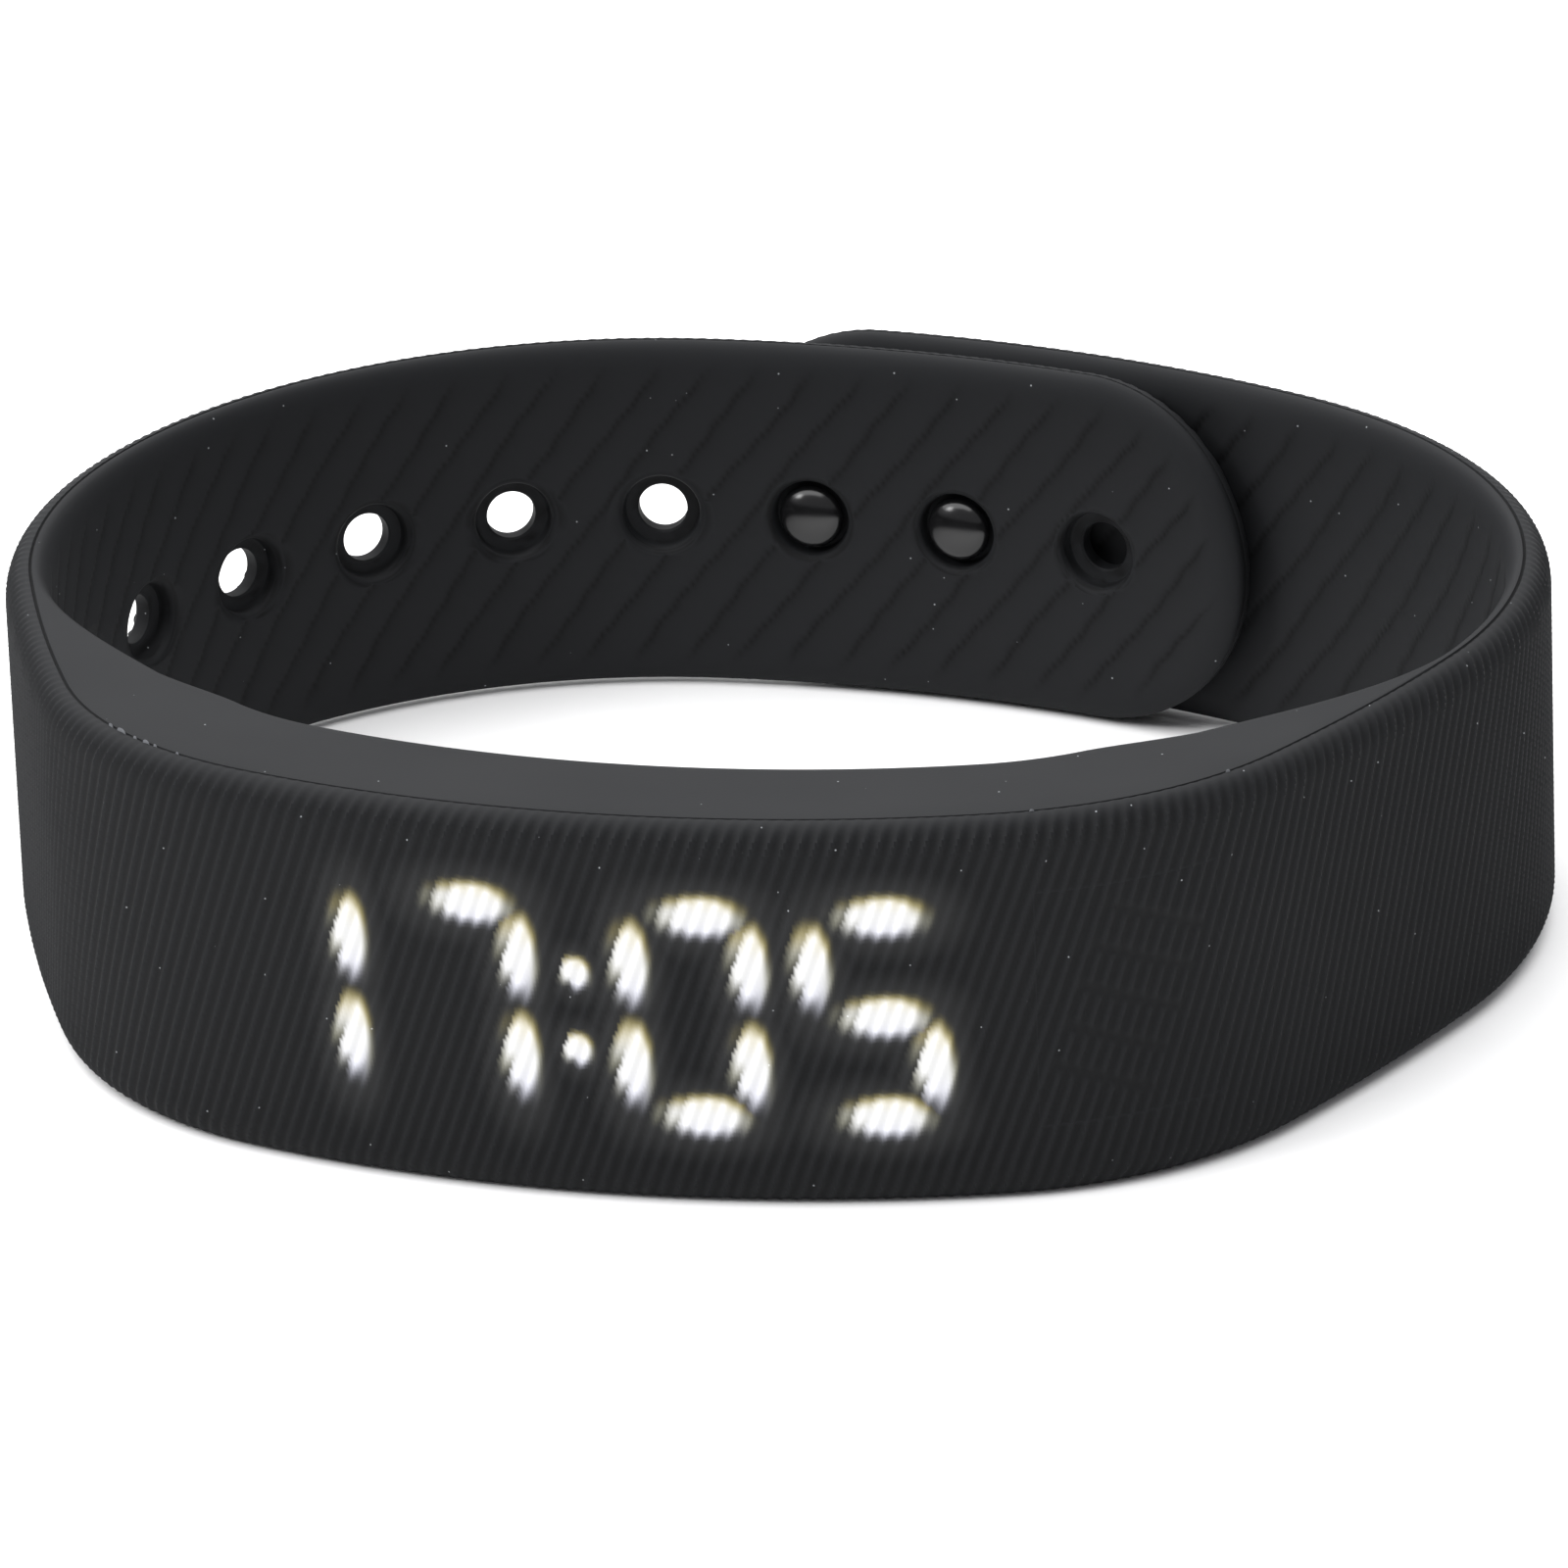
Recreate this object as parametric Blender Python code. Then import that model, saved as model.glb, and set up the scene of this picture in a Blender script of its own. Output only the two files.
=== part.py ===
"""A fitness tracker band: a rigid core in a silicone band that closes with two pegs in a row of holes.

The band stands on its lower edge. +Z is up along the wrist's axis, the display faces -Y, +X is to the
right of the display, and the origin is under the middle of the band. Every place on the band is given
by three numbers in millimetres: u, the distance along the outer face from the middle of the display
(negative along the strap with the holes, positive along the strap with the pegs), t, the depth in
from the outer face, and z, the height.
"""

import math

import bmesh
import bpy
from mathutils import Vector

MM = 0.001
GAP = 0.3                     # clearance between pieces that touch

# The outer face seen from above: tangent arcs, each a length and a radius, from the display's middle
FACE_ARC = (18.5, 60.0)
CORNER_ARC = (16.0, 20.0)
CHEEK_ARC = (14.5, 125.0)
BACK_CENTRE = (-6.5, 3.0)     # centre of the back curve, from the middle of the display
BACK_RADIUS = 62.0            # outer face of the strap with the holes, where it lies under the other

MODULE_WIDTH = 18.8
MODULE_THICK = 7.6
STRAP_WIDTH = 18.2
STRAP_MIDDLE = 9.35
STRAP_THICK = 2.2
THINNING = (26.0, 50.0)       # where the module's thickness runs out into the strap's
NARROWING = (20.0, 50.0)
SHOULDER = 1.2                # rounding of the outer edges
INNER_EDGE = 0.4

HINGES = (40.0, 56.0, 72.0, 88.0, 104.0)   # places along each strap where it is let bend
HOLE_PITCH = 8.0
FIRST_HOLE = 124.0
HOLE_COUNT = 9
BORE_RADIUS = 1.3
RECESS_RADIUS = 2.1
RECESS_DEPTH = 1.0
PEGGED_HOLES = (1, 2)         # counted from the tip, which is 0
TIP_PAST_PEG = 6.0
PEG_NECK_RADIUS = 1.0
PEG_HEAD_RADIUS = 1.65
PEG_HEAD = (0.25, 0.7)        # its straight rim and the rise of its dome
CLASP_PLATE = (14.0, 5.6, 0.8)

CORE_HALF = 29.6
CORE_LOW, CORE_HIGH = 1.7, 17.1
CASE_WALL = 0.7
SEAL_INSET = 0.2
SEAL_WIDTH = 0.6
FRONT_CASE_DEPTHS = (1.2, 4.4)
REAR_CASE_DEPTHS = (5.4, 6.1, 7.5)         # flange top, flange underside, wrist face
REAR_PLATE_HALF = 28.2
REAR_PLATE_LOW, REAR_PLATE_HIGH = 3.1, 15.7

DIGIT_CENTRES = (-15.0, -6.6, 4.25, 12.65)
COLON_CENTRE = -1.15
DIGIT_HALF_WIDTH = 2.77
DIGIT_HALF_HEIGHT = 4.95
SLOT_LENGTH = 3.4
SLOT_WIDTH = 1.3
COLON_RISE = 1.9

KEY_PLACE = 24.8
KEY_HALF = (4.3, 5.4)
KEY_TRAVEL = 0.25
SCREW_PLACE = 26.6
SCREW_RISE = 5.0
CONTACT_PLACE = 4.0

SCREW_SHANK_RADIUS = 0.6
SCREW_HEAD_RADIUS = 1.1
SCREW_HEAD_DEPTH = 0.6
SCREW_TIP_DEPTH = 2.7
SCREW_HOLE_RADIUS = 0.95
SCREW_HEAD_HOLE_RADIUS = 1.45
POST_RADIUS = 1.4
CONTACT_RADIUS = 0.9
CONTACT_HOLE_RADIUS = 1.2

DISPLAY_SPAN = (-19.3, 16.9)
DISPLAY_HEIGHTS = (3.2, 15.6)
MASK_DEPTHS = (2.2, 2.7)
LED_BOARD_DEPTHS = (3.0, 3.3)
LAMP_HALF = 0.35
TONGUE_SPAN = (18.4, 28.4)    # the part of the led board that reaches under the key
TONGUE_HEIGHTS = (6.9, 11.9)

BOARD_PLACE = 9.5             # where the main board touches the band's curve
BOARD_DEPTHS = (4.2, 4.8)
CHIP_DEPTH = BOARD_DEPTHS[1] + GAP
CELL_SPAN = (-22.0, -1.5)
CELL_DEPTHS = (3.7, 5.9)
MOTOR_PLACE = 20.2
LEAD_SPAN = (-1.2, 1.7)
LEAD_SIZE = 0.5
LEAD_DEPTH = 4.2
PAD_THICK = 0.8
PLUNGER_RADIUS = 1.6
PLUNGER_LENGTH = 0.7

MIDDLE = MODULE_WIDTH / 2
STATION_STEP = 2.0
ROUND_SIDES = 20
OVERSHOOT = 1.0               # how far a cutting shape runs past a face

COLOURS = {
    "silicone": ((0.022, 0.023, 0.025), 0.55, 0.0),
    "clasp": ((0.008, 0.008, 0.009), 0.12, 0.0),
    "case_plastic": ((0.03, 0.03, 0.032), 0.45, 0.0),
    "seal": ((0.30, 0.05, 0.04), 0.7, 0.0),
    "mask": ((0.75, 0.75, 0.73), 0.6, 0.0),
    "circuit_board": ((0.01, 0.09, 0.04), 0.4, 0.0),
    "flex_board": ((0.45, 0.20, 0.03), 0.4, 0.0),
    "chip": ((0.012, 0.012, 0.013), 0.35, 0.0),
    "steel": ((0.55, 0.55, 0.56), 0.3, 1.0),
    "gold": ((0.85, 0.58, 0.22), 0.25, 1.0),
    "foil": ((0.50, 0.51, 0.53), 0.35, 1.0),
    "red_wire": ((0.45, 0.02, 0.02), 0.5, 0.0),
    "black_wire": ((0.02, 0.02, 0.02), 0.5, 0.0),
}


def smooth(value):
    """0 up to 0, 1 from 1, and the curve 3v^2 - 2v^3 between."""
    value = min(max(value, 0.0), 1.0)
    return value * value * (3 - 2 * value)


def fade(u, span):
    """1 near the display, 0 out on the strap."""
    return 1 - smooth((abs(u) - span[0]) / (span[1] - span[0]))


class BandSide:
    """One half of the outer face's line, drawn to the right, as arcs that end on the back curve."""

    def __init__(self, sign, back_radius):
        self.sign = sign
        self.arcs = [FACE_ARC, CORNER_ARC, CHEEK_ARC]
        x, y, heading = self.walk(sum(length for length, _ in self.arcs))
        back = Vector((sign * BACK_CENTRE[0] - x, BACK_CENTRE[1] - y))
        inward = Vector((-math.sin(heading), math.cos(heading)))
        radius = (back.length_squared - back_radius**2) / (2 * (back.dot(inward) - back_radius))
        outward = radius * inward - back
        meeting = math.atan2(outward.x, -outward.y) % math.tau
        self.arcs.append(((meeting - heading) * radius, radius))
        self.back_start = sum(length for length, _ in self.arcs)
        self.back_heading = meeting
        self.back_radius = back_radius
        self.arcs.append((math.inf, back_radius))

    def walk(self, distance):
        """x, y and heading after that distance from the display's middle."""
        x = y = heading = 0.0
        for length, radius in self.arcs:
            step = min(distance, length)
            centre_x = x - radius * math.sin(heading)
            centre_y = y + radius * math.cos(heading)
            heading += step / radius
            x = centre_x + radius * math.sin(heading)
            y = centre_y - radius * math.cos(heading)
            distance -= step
            if distance <= 0:
                break
        return x, y, heading

    def facing(self, distance):
        """The direction seen from the back curve's centre, clockwise from +Y."""
        heading = self.back_heading + (distance - self.back_start) / self.back_radius
        return self.sign * (math.pi - heading)

    def distance_at(self, direction):
        """The inverse of facing, on the back curve."""
        heading = math.pi - self.sign * direction
        return self.back_start + (heading - self.back_heading) * self.back_radius


HOLE_SIDE = BandSide(-1, BACK_RADIUS)
PEG_SIDE = BandSide(1, BACK_RADIUS + STRAP_THICK + GAP)
HOLES = [-(FIRST_HOLE - HOLE_PITCH * i) for i in range(HOLE_COUNT)]
PEGS = [PEG_SIDE.distance_at(HOLE_SIDE.facing(-HOLES[i])) for i in PEGGED_HOLES]
TIP_RADIUS = STRAP_WIDTH / 2
HOLE_TIP_CENTRE = FIRST_HOLE - 0.6
PEG_TIP_CENTRE = PEGS[-1] + TIP_PAST_PEG - TIP_RADIUS


def line_at(u):
    """Point, direction towards +u and inward normal of the outer face at u, before centring."""
    side = PEG_SIDE if u >= 0 else HOLE_SIDE
    x, y, heading = side.walk(abs(u))
    along = Vector((math.cos(heading), side.sign * math.sin(heading), 0))
    inward = Vector((-side.sign * math.sin(heading), math.cos(heading), 0))
    return Vector((side.sign * x, y, 0)), along, inward


def stations(start, end, step=STATION_STEP):
    """Places from start to end, no further apart than step."""
    count = max(1, math.ceil(abs(end - start) / step))
    return [start + (end - start) * i / count for i in range(count + 1)]


def plan_centre():
    """Middle of the band's box seen from above."""
    points = [line_at(u)[0] for u in stations(-FIRST_HOLE, PEGS[-1], 0.1)]
    xs = [p.x for p in points]
    ys = [p.y for p in points]
    return Vector(((min(xs) + max(xs)) / 2, (min(ys) + max(ys)) / 2, 0))


CENTRE = plan_centre()


def place(u, t, z, across=0.0):
    """The point in metres at u, t and z, moved by across along the straight line that touches u."""
    point, along, inward = line_at(u)
    return (point - CENTRE + along * across + inward * t + Vector((0, 0, z))) * MM


def material(name):
    """The material of that name, made on first use."""
    found = bpy.data.materials.get(name)
    if found:
        return found
    colour, roughness, metallic = COLOURS[name]
    made = bpy.data.materials.new(name)
    made.use_nodes = True
    shader = made.node_tree.nodes["Principled BSDF"]
    shader.inputs["Base Color"].default_value = (*colour, 1)
    shader.inputs["Roughness"].default_value = roughness
    shader.inputs["Metallic"].default_value = metallic
    return made


def solid(name, rings, look, origin=Vector((0, 0, 0))):
    """A closed body through rings of corners, capped at both ends, with its origin where it turns."""
    bm = bmesh.new()
    rows = [[bm.verts.new(corner - origin) for corner in ring] for ring in rings]
    size = len(rows[0])
    for low, high in zip(rows, rows[1:]):
        for i in range(size):
            j = (i + 1) % size
            bm.faces.new((low[i], low[j], high[j], high[i]))
    bm.faces.new(rows[0][::-1])
    bm.faces.new(rows[-1])
    bmesh.ops.recalc_face_normals(bm, faces=bm.faces)
    mesh = bpy.data.meshes.new(name)
    bm.to_mesh(mesh)
    bm.free()
    mesh.materials.append(material(look))
    made = bpy.data.objects.new(name, mesh)
    made.location = origin
    bpy.context.scene.collection.objects.link(made)
    return made


def swept(name, places, section, look, origin=Vector((0, 0, 0))):
    """A section of (t, z) corners carried along the band through places."""
    rings = [[place(u, t, z) for t, z in section(u)] for u in places]
    return solid(name, rings, look, origin)


def box_corners(t_span, z_span):
    """The four (t, z) corners of a block's section, in order."""
    (near, far), (low, high) = t_span, z_span
    return [(near, low), (far, low), (far, high), (near, high)]


def bent_block(name, u_span, t_span, z_span, look="case_plastic", origin=Vector((0, 0, 0))):
    """A block that follows the band's curve."""
    corners = box_corners(t_span, z_span)
    return swept(name, stations(*u_span), lambda u: corners, look, origin)


def flat_block(name, u, across, t_span, z_span, look="chip"):
    """A straight block that touches the band's curve at u."""
    rings = [[place(u, t, z, x) for t, z in box_corners(t_span, z_span)] for x in across]
    return solid(name, rings, look)


def turned(name, u, z, profile, look="case_plastic", origin=Vector((0, 0, 0))):
    """A profile of (radius, t) turned about the line through u and z square to the band."""
    angles = [math.tau * i / ROUND_SIDES for i in range(ROUND_SIDES)]
    rings = [[place(u, t, z + r * math.sin(a), r * math.cos(a)) for a in angles] for r, t in profile]
    return solid(name, rings, look, origin)


def combine(target, tool, operation):
    """Cuts the tool from the target or joins it on, and removes the tool."""
    change = target.modifiers.new(operation.lower(), "BOOLEAN")
    change.operation = operation
    change.object = tool
    bpy.context.view_layer.update()
    evaluated = target.evaluated_get(bpy.context.evaluated_depsgraph_get())
    old, name = target.data, target.name
    target.data = bpy.data.meshes.new_from_object(evaluated)
    target.modifiers.clear()
    bpy.data.meshes.remove(old)
    target.data.name = name
    bpy.data.objects.remove(tool)


def cut(target, tool):
    """Takes the tool's shape out of the target."""
    combine(target, tool, "DIFFERENCE")


def join(target, tool):
    """Makes the tool's shape part of the target."""
    combine(target, tool, "UNION")


def round_off(made):
    """Shades a piece smooth except along its sharp edges."""
    made.data.shade_smooth()
    made.data.set_sharp_from_angle(angle=math.radians(32))


def half_width(u):
    """Half of the band's width at u, down to the round of the strap's tip."""
    width = (STRAP_WIDTH + (MODULE_WIDTH - STRAP_WIDTH) * fade(u, NARROWING)) / 2
    past = abs(u) - (PEG_TIP_CENTRE if u > 0 else HOLE_TIP_CENTRE)
    if past > 0:
        width = math.sqrt(TIP_RADIUS**2 - past**2)
    return width


def band_section(u):
    """Corners of the silicone's section: round shoulders outside and small bevels on the wrist side."""
    half = half_width(u)
    middle = STRAP_MIDDLE + (MIDDLE - STRAP_MIDDLE) * fade(u, NARROWING)
    thick = STRAP_THICK + (MODULE_THICK - STRAP_THICK) * fade(u, THINNING)
    shoulder = min(SHOULDER, 0.6 * half)
    edge = min(INNER_EDGE, 0.2 * half)
    half_side = [
        (0, half - shoulder),
        (0.3 * shoulder, half - 0.3 * shoulder),
        (shoulder, half),
        (thick - edge, half),
        (thick, half - edge),
    ]
    return [(t, middle + z) for t, z in half_side] + [(t, middle - z) for t, z in reversed(half_side)]


def tip_stations(sign, start, centre):
    """Places from start to the round tip, closer together as the tip narrows."""
    turns = [math.radians(a) for a in range(12, 84, 12)]
    straight = stations(start, centre)
    return [sign * u for u in straight + [centre + TIP_RADIUS * math.sin(a) for a in turns]]


def make_sleeve():
    """The silicone round the core: a pocket with a lip on the wrist side and a window for the key."""
    end = HINGES[0] - GAP / 2
    sleeve = swept("band_sleeve", stations(-end, end), band_section, "silicone")
    top, _ = FRONT_CASE_DEPTHS
    _, lip, _ = REAR_CASE_DEPTHS
    half = CORE_HALF + GAP
    pocket_z = (CORE_LOW - GAP, CORE_HIGH + GAP)
    cut(sleeve, bent_block("pocket", (-half, half), (top - GAP, lip + GAP), pocket_z))
    mouth = REAR_PLATE_HALF + GAP
    mouth_z = (REAR_PLATE_LOW - GAP, REAR_PLATE_HIGH + GAP)
    cut(sleeve, bent_block("mouth", (-mouth, mouth), (lip, MODULE_THICK + OVERSHOOT), mouth_z))
    window_u = (KEY_PLACE - KEY_HALF[0] - GAP, KEY_PLACE + KEY_HALF[0] + GAP)
    window_z = (MIDDLE - KEY_HALF[1] - GAP, MIDDLE + KEY_HALF[1] + GAP)
    cut(sleeve, bent_block("key_window", window_u, (-OVERSHOOT, top), window_z))


def make_strap(sign, name, tip_centre):
    """One strap as five links, each hinged on the outer face at its end nearest the display."""
    links = []
    for i, hinge in enumerate(HINGES):
        start = hinge + GAP / 2
        if i + 1 < len(HINGES):
            places = [sign * u for u in stations(start, HINGES[i + 1] - GAP / 2)]
        else:
            places = tip_stations(sign, start, tip_centre)
        origin = place(sign * hinge, 0, STRAP_MIDDLE)
        links.append(swept(f"{name}_{i + 1}", places, band_section, "silicone", origin))
    return links


def link_at(links, u):
    """The link of a strap that holds the place u."""
    index = sum(abs(u) > hinge for hinge in HINGES) - 1
    return links[index]


def make_hole_strap():
    """The inner strap, with a row of bores that each open into a wider recess on the wrist side."""
    links = make_strap(-1, "hole_strap_link", HOLE_TIP_CENTRE)
    floor = STRAP_THICK - RECESS_DEPTH
    profile = [
        (BORE_RADIUS, -OVERSHOOT),
        (BORE_RADIUS, floor),
        (RECESS_RADIUS, floor),
        (RECESS_RADIUS, STRAP_THICK + OVERSHOOT),
    ]
    for u in HOLES:
        cut(link_at(links, u), turned("hole", u, STRAP_MIDDLE, profile))
    for link in links:
        round_off(link)


def clasp_span(margin):
    """The u and z spans of the clasp's plate, with a margin all round."""
    middle = sum(PEGS) / len(PEGS)
    half_u, half_z = CLASP_PLATE[0] / 2 + margin, CLASP_PLATE[1] / 2 + margin
    return (middle - half_u, middle + half_u), (STRAP_MIDDLE - half_z, STRAP_MIDDLE + half_z)


def make_peg_strap():
    """The outer strap, with a seat for the clasp's plate and a bore for each peg."""
    links = make_strap(1, "peg_strap_link", PEG_TIP_CENTRE)
    thick = CLASP_PLATE[2]
    seat_u, seat_z = clasp_span(GAP)
    cut(links[-1], bent_block("seat", seat_u, (-OVERSHOOT, thick + GAP), seat_z))
    radius = PEG_NECK_RADIUS + GAP
    for u in PEGS:
        bore = [(radius, thick / 2), (radius, STRAP_THICK + OVERSHOOT)]
        cut(links[-1], turned("peg_bore", u, STRAP_MIDDLE, bore))
    for link in links:
        round_off(link)


def make_clasp():
    """A plate with two mushroom pegs that snap through the other strap's holes."""
    thick = CLASP_PLATE[2]
    u_span, z_span = clasp_span(0.0)
    origin = place(HINGES[-1], 0, STRAP_MIDDLE)
    clasp = bent_block("peg_clasp", u_span, (0.0, thick), z_span, "clasp", origin)
    under_head = 2 * STRAP_THICK + GAP - RECESS_DEPTH + GAP
    rim, rise = PEG_HEAD
    profile = [(PEG_NECK_RADIUS, thick / 2), (PEG_NECK_RADIUS, under_head), (PEG_HEAD_RADIUS, under_head)]
    for turn in (0, 0.4, 0.8, 1.2):
        profile.append((PEG_HEAD_RADIUS * math.cos(turn), under_head + rim + rise * math.sin(turn)))
    for u in PEGS:
        join(clasp, turned("peg", u, STRAP_MIDDLE, profile, "clasp"))
    round_off(clasp)


def screw_places():
    """The u and z of the four screws."""
    return [(side * SCREW_PLACE, MIDDLE + rise * SCREW_RISE) for side in (-1, 1) for rise in (-1, 1)]


def make_front_case():
    """The core's front shell, with a display window, the plunger's hole and four screw posts."""
    top, foot = FRONT_CASE_DEPTHS
    case = bent_block("front_case", (-CORE_HALF, CORE_HALF), (top, foot), (CORE_LOW, CORE_HIGH))
    inside = CORE_HALF - CASE_WALL
    inside_z = (CORE_LOW + CASE_WALL, CORE_HIGH - CASE_WALL)
    cut(case, bent_block("inside", (-inside, inside), (top + CASE_WALL, foot + OVERSHOOT), inside_z))
    face = (top - CASE_WALL, MASK_DEPTHS[0] + GAP)
    window_u = (DISPLAY_SPAN[0] - GAP, DISPLAY_SPAN[1] + GAP)
    window_z = (DISPLAY_HEIGHTS[0] - GAP, DISPLAY_HEIGHTS[1] + GAP)
    cut(case, bent_block("display_window", window_u, face, window_z))
    hole = PLUNGER_RADIUS + GAP
    cut(case, turned("plunger_hole", KEY_PLACE, MIDDLE, [(hole, depth) for depth in face]))
    post_end = top + CASE_WALL / 2
    for u, z in screw_places():
        join(case, turned("post", u, z, [(POST_RADIUS, post_end), (POST_RADIUS, foot)]))
        bore = [(SCREW_HOLE_RADIUS, post_end + CASE_WALL), (SCREW_HOLE_RADIUS, foot + OVERSHOOT)]
        cut(case, turned("post_hole", u, z, bore))


def make_rear_case():
    """The core's wrist-side cover: a flange under the sleeve's lip and a plate that fills its mouth."""
    flange, lip, face = REAR_CASE_DEPTHS
    case = bent_block("rear_case", (-CORE_HALF, CORE_HALF), (flange, lip), (CORE_LOW, CORE_HIGH))
    plate_u = (-REAR_PLATE_HALF, REAR_PLATE_HALF)
    middle = (flange + lip) / 2
    join(case, bent_block("plate", plate_u, (middle, face), (REAR_PLATE_LOW, REAR_PLATE_HIGH)))
    hollow_z = (REAR_PLATE_LOW + CASE_WALL, REAR_PLATE_HIGH - CASE_WALL)
    half = SCREW_PLACE - SCREW_HEAD_HOLE_RADIUS
    cut(case, bent_block("hollow", (-half, half), (flange - OVERSHOOT, lip + GAP), hollow_z))
    through = (middle, face + OVERSHOOT)
    for side in (-1, 1):
        hole = [(CONTACT_HOLE_RADIUS, depth) for depth in through]
        cut(case, turned("contact_hole", side * CONTACT_PLACE, MIDDLE, hole))
    seat = face - SCREW_HEAD_DEPTH - GAP
    for u, z in screw_places():
        profile = [
            (SCREW_HOLE_RADIUS, flange - OVERSHOOT),
            (SCREW_HOLE_RADIUS, seat),
            (SCREW_HEAD_HOLE_RADIUS, seat),
            (SCREW_HEAD_HOLE_RADIUS, face + OVERSHOOT),
        ]
        cut(case, turned("screw_hole", u, z, profile))


def make_seal():
    """The soft ring between the case's halves."""
    depths = (FRONT_CASE_DEPTHS[1] + GAP, REAR_CASE_DEPTHS[0] - GAP)
    half = CORE_HALF - SEAL_INSET
    low, high = CORE_LOW + SEAL_INSET, CORE_HIGH - SEAL_INSET
    seal = bent_block("case_seal", (-half, half), depths, (low, high), "seal")
    half, low, high = half - SEAL_WIDTH, low + SEAL_WIDTH, high - SEAL_WIDTH
    hole_depths = (depths[0] - GAP, depths[1] + GAP)
    cut(seal, bent_block("seal_inside", (-half, half), hole_depths, (low, high), "seal"))


def make_case_fittings():
    """The screws of the case and the charging contacts."""
    face = REAR_CASE_DEPTHS[2]
    head = face - SCREW_HEAD_DEPTH
    for i, (u, z) in enumerate(screw_places()):
        profile = [
            (SCREW_SHANK_RADIUS, SCREW_TIP_DEPTH),
            (SCREW_SHANK_RADIUS, head),
            (SCREW_HEAD_RADIUS, head),
            (SCREW_HEAD_RADIUS, face - 0.25),
            (SCREW_HEAD_RADIUS - 0.2, face - 0.1),
        ]
        round_off(turned(f"rear_screw_{i + 1}", u, z, profile, "steel"))
    proud = face + 0.1
    profile = [(CONTACT_RADIUS, 6.2), (CONTACT_RADIUS, face - 0.05), (CONTACT_RADIUS - 0.15, proud)]
    for i, side in enumerate((-1, 1)):
        round_off(turned(f"charge_contact_{i + 1}", side * CONTACT_PLACE, MIDDLE, profile, "gold"))


def segment_bars():
    """Centre u, centre z, length along u and length along z of each bar and dot of the display."""
    bars = []
    for u in DIGIT_CENTRES:
        for rise in (-DIGIT_HALF_HEIGHT, 0, DIGIT_HALF_HEIGHT):
            bars.append((u, MIDDLE + rise, SLOT_LENGTH, SLOT_WIDTH))
        for side in (-DIGIT_HALF_WIDTH, DIGIT_HALF_WIDTH):
            for rise in (-DIGIT_HALF_HEIGHT / 2, DIGIT_HALF_HEIGHT / 2):
                bars.append((u + side, MIDDLE + rise, SLOT_WIDTH, SLOT_LENGTH))
    for rise in (-COLON_RISE, COLON_RISE):
        bars.append((COLON_CENTRE, MIDDLE + rise, SLOT_WIDTH, SLOT_WIDTH))
    return bars


def make_display():
    """The light mask with a slot for each bar of the digits, and the flexible board with its lamps."""
    mask = bent_block("light_mask", DISPLAY_SPAN, MASK_DEPTHS, DISPLAY_HEIGHTS, "mask")
    board_span = (DISPLAY_SPAN[0], TONGUE_SPAN[0] + 0.5)
    board = bent_block("led_board", board_span, LED_BOARD_DEPTHS, DISPLAY_HEIGHTS, "flex_board")
    slot_depths = (MASK_DEPTHS[0] - 0.5, MASK_DEPTHS[1] + 0.5)
    lamp_depths = (2.5, 3.15)
    for u, z, length, height in segment_bars():
        slot_z = (z - height / 2, z + height / 2)
        cut(mask, flat_block("slot", u, (-length / 2, length / 2), slot_depths, slot_z, "mask"))
        lamp_z = (z - LAMP_HALF, z + LAMP_HALF)
        join(board, flat_block("lamp", u, (-LAMP_HALF, LAMP_HALF), lamp_depths, lamp_z, "flex_board"))
    join(board, bent_block("tongue", TONGUE_SPAN, LED_BOARD_DEPTHS, TONGUE_HEIGHTS, "flex_board"))


def make_electronics():
    """The main board with its parts, the cell with its leads, the aerial and the vibration motor."""
    place_u, near = BOARD_PLACE, CHIP_DEPTH
    flat_block("main_board", place_u, (-7.5, 6.8), BOARD_DEPTHS, (4.0, 14.8), "circuit_board")
    flat_block("processor_chip", place_u, (-5.6, -0.6), (near, near + 0.8), (7.0, 12.0))
    flat_block("motion_sensor", place_u, (2.0, 4.5), (near, near + 0.7), (10.4, 12.9))
    flat_block("clock_crystal", place_u, (2.0, 4.0), (near, near + 0.5), (6.8, 8.4), "steel")
    flat_block("flex_connector", place_u, (-4.0, 2.0), (near, near + 0.8), (4.6, 6.0), "mask")
    bent_block("battery_cell", CELL_SPAN, CELL_DEPTHS, (3.9, 14.9), "foil")
    bent_block("antenna", (-18.0, -3.0), (3.6, 4.2), (15.5, 15.9), "gold")
    motor = [(2.5, 3.8), (2.7, 4.0), (2.7, 5.6), (2.5, 5.8)]
    round_off(turned("vibration_motor", MOTOR_PLACE, MIDDLE, motor, "steel"))
    make_lead("battery_lead_plus", 12.4, "red_wire")
    make_lead("battery_lead_minus", 6.2, "black_wire")


def make_lead(name, z, look):
    """A short wire that arches from the cell to the main board."""
    start, end = LEAD_SPAN

    def section(u):
        t = LEAD_DEPTH + LEAD_SIZE * math.sin(math.pi * (u - start) / (end - start))
        return box_corners((t, t + LEAD_SIZE), (z, z + LEAD_SIZE))

    swept(name, stations(start, end, 0.4), section, look)


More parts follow.
